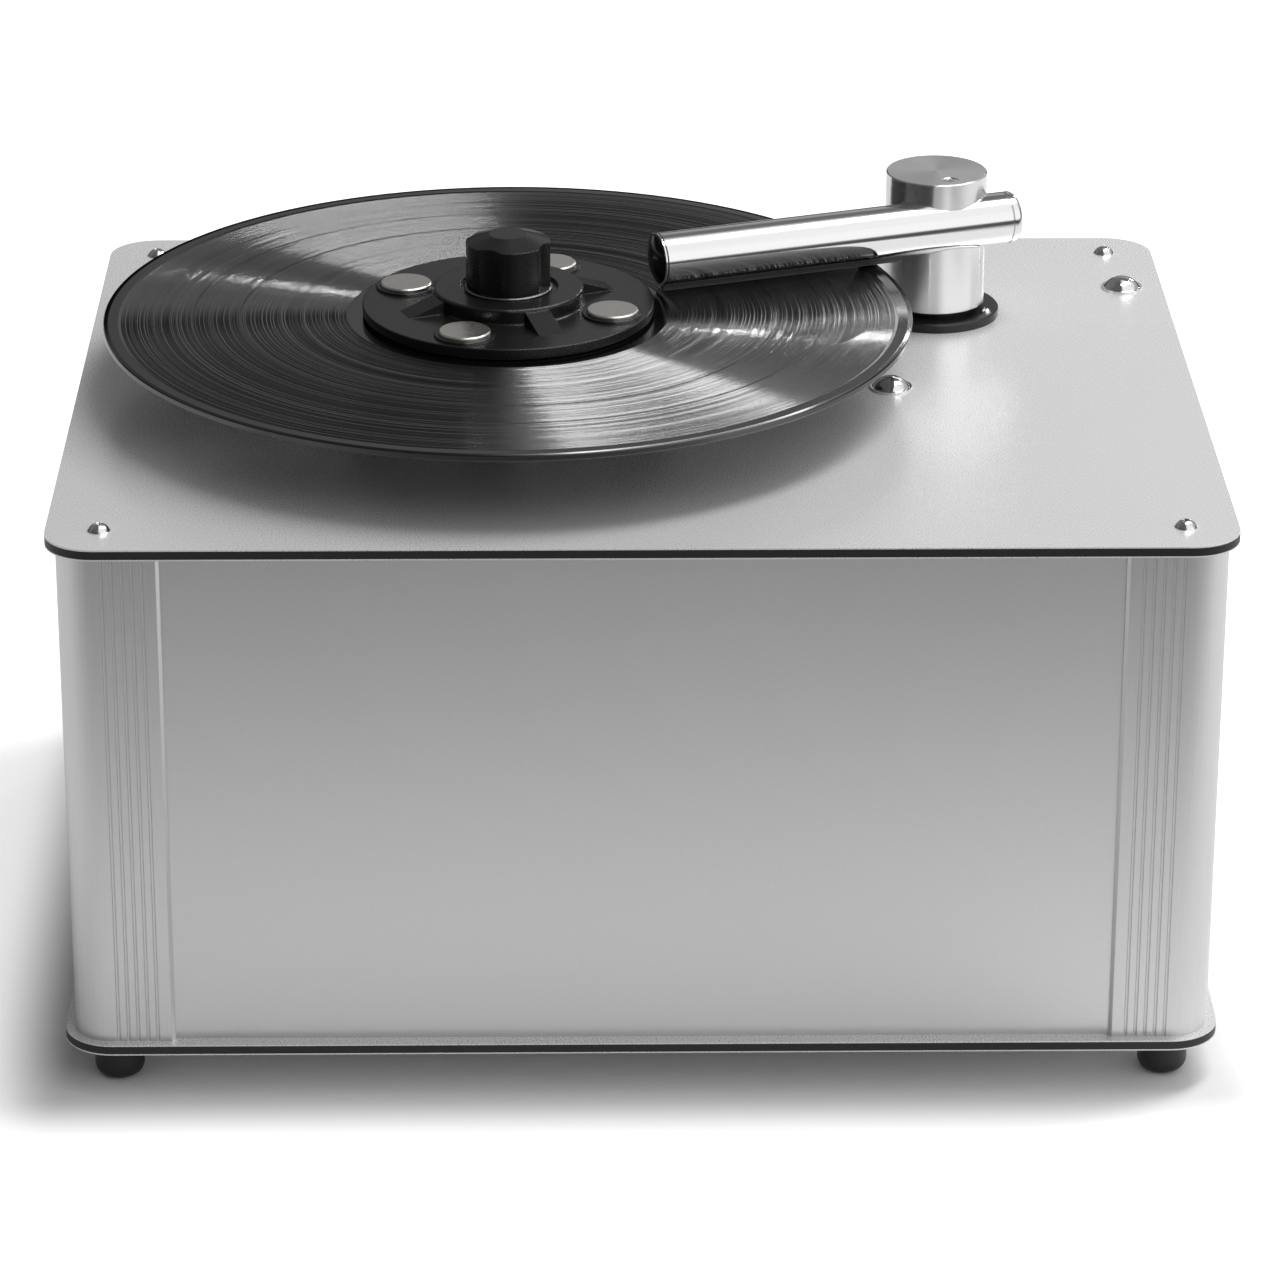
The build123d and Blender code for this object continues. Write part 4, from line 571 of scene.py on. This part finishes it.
def felt_pads(material):
    """Two fluffy felt strips along the tube's slot, seated on the tube and just clear of the record."""
    shape = bmesh.new()
    tube, low = 0.01014, -0.0119 + 0.00034
    start, end, steps = -0.1193, -0.0211, 160
    for side in (-1, 1):
        inner, outer = 0.00155, 0.00395
        middle = (inner + outer) / 2
        half = (outer - inner) / 2
        around_low = [math.pi * (1 + step / 10) for step in range(11)]
        outline = [(middle + half * math.cos(turn), low + 0.0007 + 0.0007 * math.sin(turn)) for turn in around_low]
        outline += [
            (inner + (outer - inner) * (1 - step / 5), None) for step in range(6)
        ]
        rings = []
        for step in range(steps + 1):
            distance = start + (end - start) * step / steps
            ring = []
            for index, (aside, height) in enumerate(outline):
                if height is None:
                    height = -math.sqrt(tube**2 - aside**2)
                    rough = Vector((0, 0, 0))
                else:
                    seed = Vector((distance * 2600, index * 1.7 + side * 9, 3.0))
                    rough = noise.noise_vector(seed) * 0.00014
                where = TUBE_FOOT + TUBE_DIRECTION * (distance + rough.x) + TUBE_BACK * (side * aside + rough.y)
                ring.append(shape.verts.new(where + Vector((0, 0, height + abs(rough.z)))))
            rings.append(ring)
        count = len(outline)
        for before, after in zip(rings, rings[1:]):
            for index in range(count):
                follow = (index + 1) % count
                shape.faces.new((before[index], before[follow], after[follow], after[index]))
        shape.faces.new(rings[0][::-1])
        shape.faces.new(rings[-1])
    bmesh.ops.recalc_face_normals(shape, faces=shape.faces)
    mesh = bpy.data.meshes.new("felt")
    shape.to_mesh(mesh)
    shape.free()
    new_piece("felt_wipers", soften(mesh, 60.0), "arm", "felt", material, "felt_strips")


# ---------------------------------------------------------------- studio
def add_area(name, place, aim, size, radiance, along=None):
    """Rectangular softbox of an even radiance, facing its aim, with its long side along a direction."""
    data = bpy.data.lights.new(name, "AREA")
    data.shape = "RECTANGLE"
    data.size, data.size_y = size
    data.energy = radiance * math.pi * size[0] * size[1]
    lamp = bpy.data.objects.new(name, data)
    lamp.location = place
    facing = (Vector(place) - Vector(aim)).normalized()
    side = Vector(along) if along else Vector((0, 0, 1)).cross(facing)
    side = (side - facing * side.dot(facing)).normalized()
    lamp.rotation_euler = Matrix((side, facing.cross(side), facing)).transposed().to_euler()
    scene.collection.objects.link(lamp)
    return lamp


def add_world():
    """White to the camera; a plain soft studio to the object, brighter to the right."""
    world = bpy.data.worlds.new("studio")
    scene.world = world
    world.use_nodes = True
    tree = Nodes(world.node_tree)
    x, y, z = tree.parts(tree.add("ShaderNodeTexCoord").outputs["Generated"])
    front_low = tree.span(x, 0.0, 0.4, 0.1, 1.35, smooth=True)
    front_low = tree.math("MULTIPLY", front_low, tree.span(z, 0.0, 0.12, 0.12, 1.0, smooth=True))
    over = tree.span(x, -0.1, 0.1, 0.14, 1.25, smooth=True)
    front = tree.span(tree.span(z, 0.5, 0.75, 0.0, 1.0, smooth=True), 0.0, 1.0, front_low, over)
    back_low = tree.span(x, -0.22, 0.2, 0.22, 0.56, smooth=True)
    back_low = tree.math("MULTIPLY", back_low, tree.span(z, 0.08, 0.28, 0.04, 1.0, smooth=True))
    back_high = tree.span(x, 0.35, 0.6, 0.2, 1.1, smooth=True)
    back = tree.span(tree.span(z, 0.42, 0.66, 0.0, 1.0, smooth=True), 0.0, 1.0, back_low, back_high)
    back = tree.span(tree.span(z, 0.82, 0.92, 0.0, 1.0, smooth=True), 0.0, 1.0, back, over)
    behind = tree.span(y, -0.12, 0.12, 0.0, 1.0, smooth=True)
    level = tree.span(behind, 0.0, 1.0, front, back)
    seen = tree.add("ShaderNodeLightPath").outputs["Is Camera Ray"]
    strength = tree.span(seen, 0.0, 1.0, level, 1.0 / WORLD_TONE)
    background = tree.add("ShaderNodeBackground")
    background.inputs["Color"].default_value = grey(WORLD_TONE)
    tree.join(strength, background.inputs["Strength"])
    output = tree.add("ShaderNodeOutputWorld")
    tree.join(background.outputs[0], output.inputs["Surface"])


def add_floor():
    """Plain pale floor: white away from the machine, with the machine's own shadow round its foot, deepened by
    painted shade where the camera-only glow that whitens the floor fades out near the foot.
    """
    mesh = bpy.data.meshes.new("floor")
    reach = 6.0
    corners = [(-reach, -reach, 0), (reach, -reach, 0), (reach, reach, 0), (-reach, reach, 0)]
    mesh.from_pydata(corners, [], [(0, 1, 2, 3)])
    floor = bpy.data.objects.new("floor", mesh)
    floor.location.z = -0.0002
    scene.collection.objects.link(floor)
    material, tree, body = shader("floor_pale", Roughness=0.85)
    body.inputs["Specular IOR Level"].default_value = 0.1
    x, y, z = tree.parts(tree.place())
    light_path = tree.add("ShaderNodeLightPath")
    speckle = tree.noise(tree.place(), 300.0)
    pale = tree.blend(speckle, grey(0.88), grey(0.92))
    # Painted shade: to reflections the floor runs from pale near the machine to black far in front, standing in
    # for the light falling off there. The camera still sees the floor plain pale.
    away = tree.span(y, -1.0, -0.2, 0.1, 1.0, smooth=True)
    painted_falloff_in_reflections = tree.blend(away, grey(0.0), pale)
    tree.join(tree.blend(light_path.outputs["Is Glossy Ray"], pale, painted_falloff_in_reflections), body.inputs["Base Color"])
    low, high = cad_box
    beyond_x = tree.math("SUBTRACT", tree.math("ABSOLUTE", x), high[0])
    beyond_y = tree.math("SUBTRACT", tree.math("ABSOLUTE", y), high[1])
    far_x = tree.math("MAXIMUM", beyond_x, 0.0)
    far_y = tree.math("MAXIMUM", beyond_y, 0.0)
    squares = tree.math("ADD", tree.math("MULTIPLY", far_x, far_x), tree.math("MULTIPLY", far_y, far_y))
    far = tree.math("SQRT", squares)
    # Painted shade: the camera-only glow fades to nothing within 38 mm of the footprint, so the floor round the
    # foot is darker, on top of its real shadow.
    glow_with_painted_shade_at_foot = tree.span(far, 0.0, 0.038, 0.0, 0.6, smooth=True)
    body.inputs["Emission Color"].default_value = grey(1.0)
    tree.join(tree.math("MULTIPLY", glow_with_painted_shade_at_foot, light_path.outputs["Is Camera Ray"]), body.inputs["Emission Strength"])
    mesh.materials.append(material)


def add_lights():
    """A long softbox from overhead to the right, and a narrow strip behind on the right."""
    spindle = Vector((PLATTER.x, PLATTER.y, 0.24))
    overhead, right = Vector((0.108, -0.09, 0.99)), Vector((0.6, 0.4, 0.69))
    centre = spindle + (overhead + right).normalized() * 1.9
    add_area("softbox_top", centre, spindle, (1.55, 0.5), 9.6, along=right - overhead)
    strip = spindle + Vector((0.5, 0.797, 0.339)) * 2.2
    add_area("strip_back", strip, spindle, (0.022, 0.7), 62.0)


add_camera()
made = finishes()
screws(made)
felt_pads(made["felt"])
add_world()
add_floor()
add_lights()
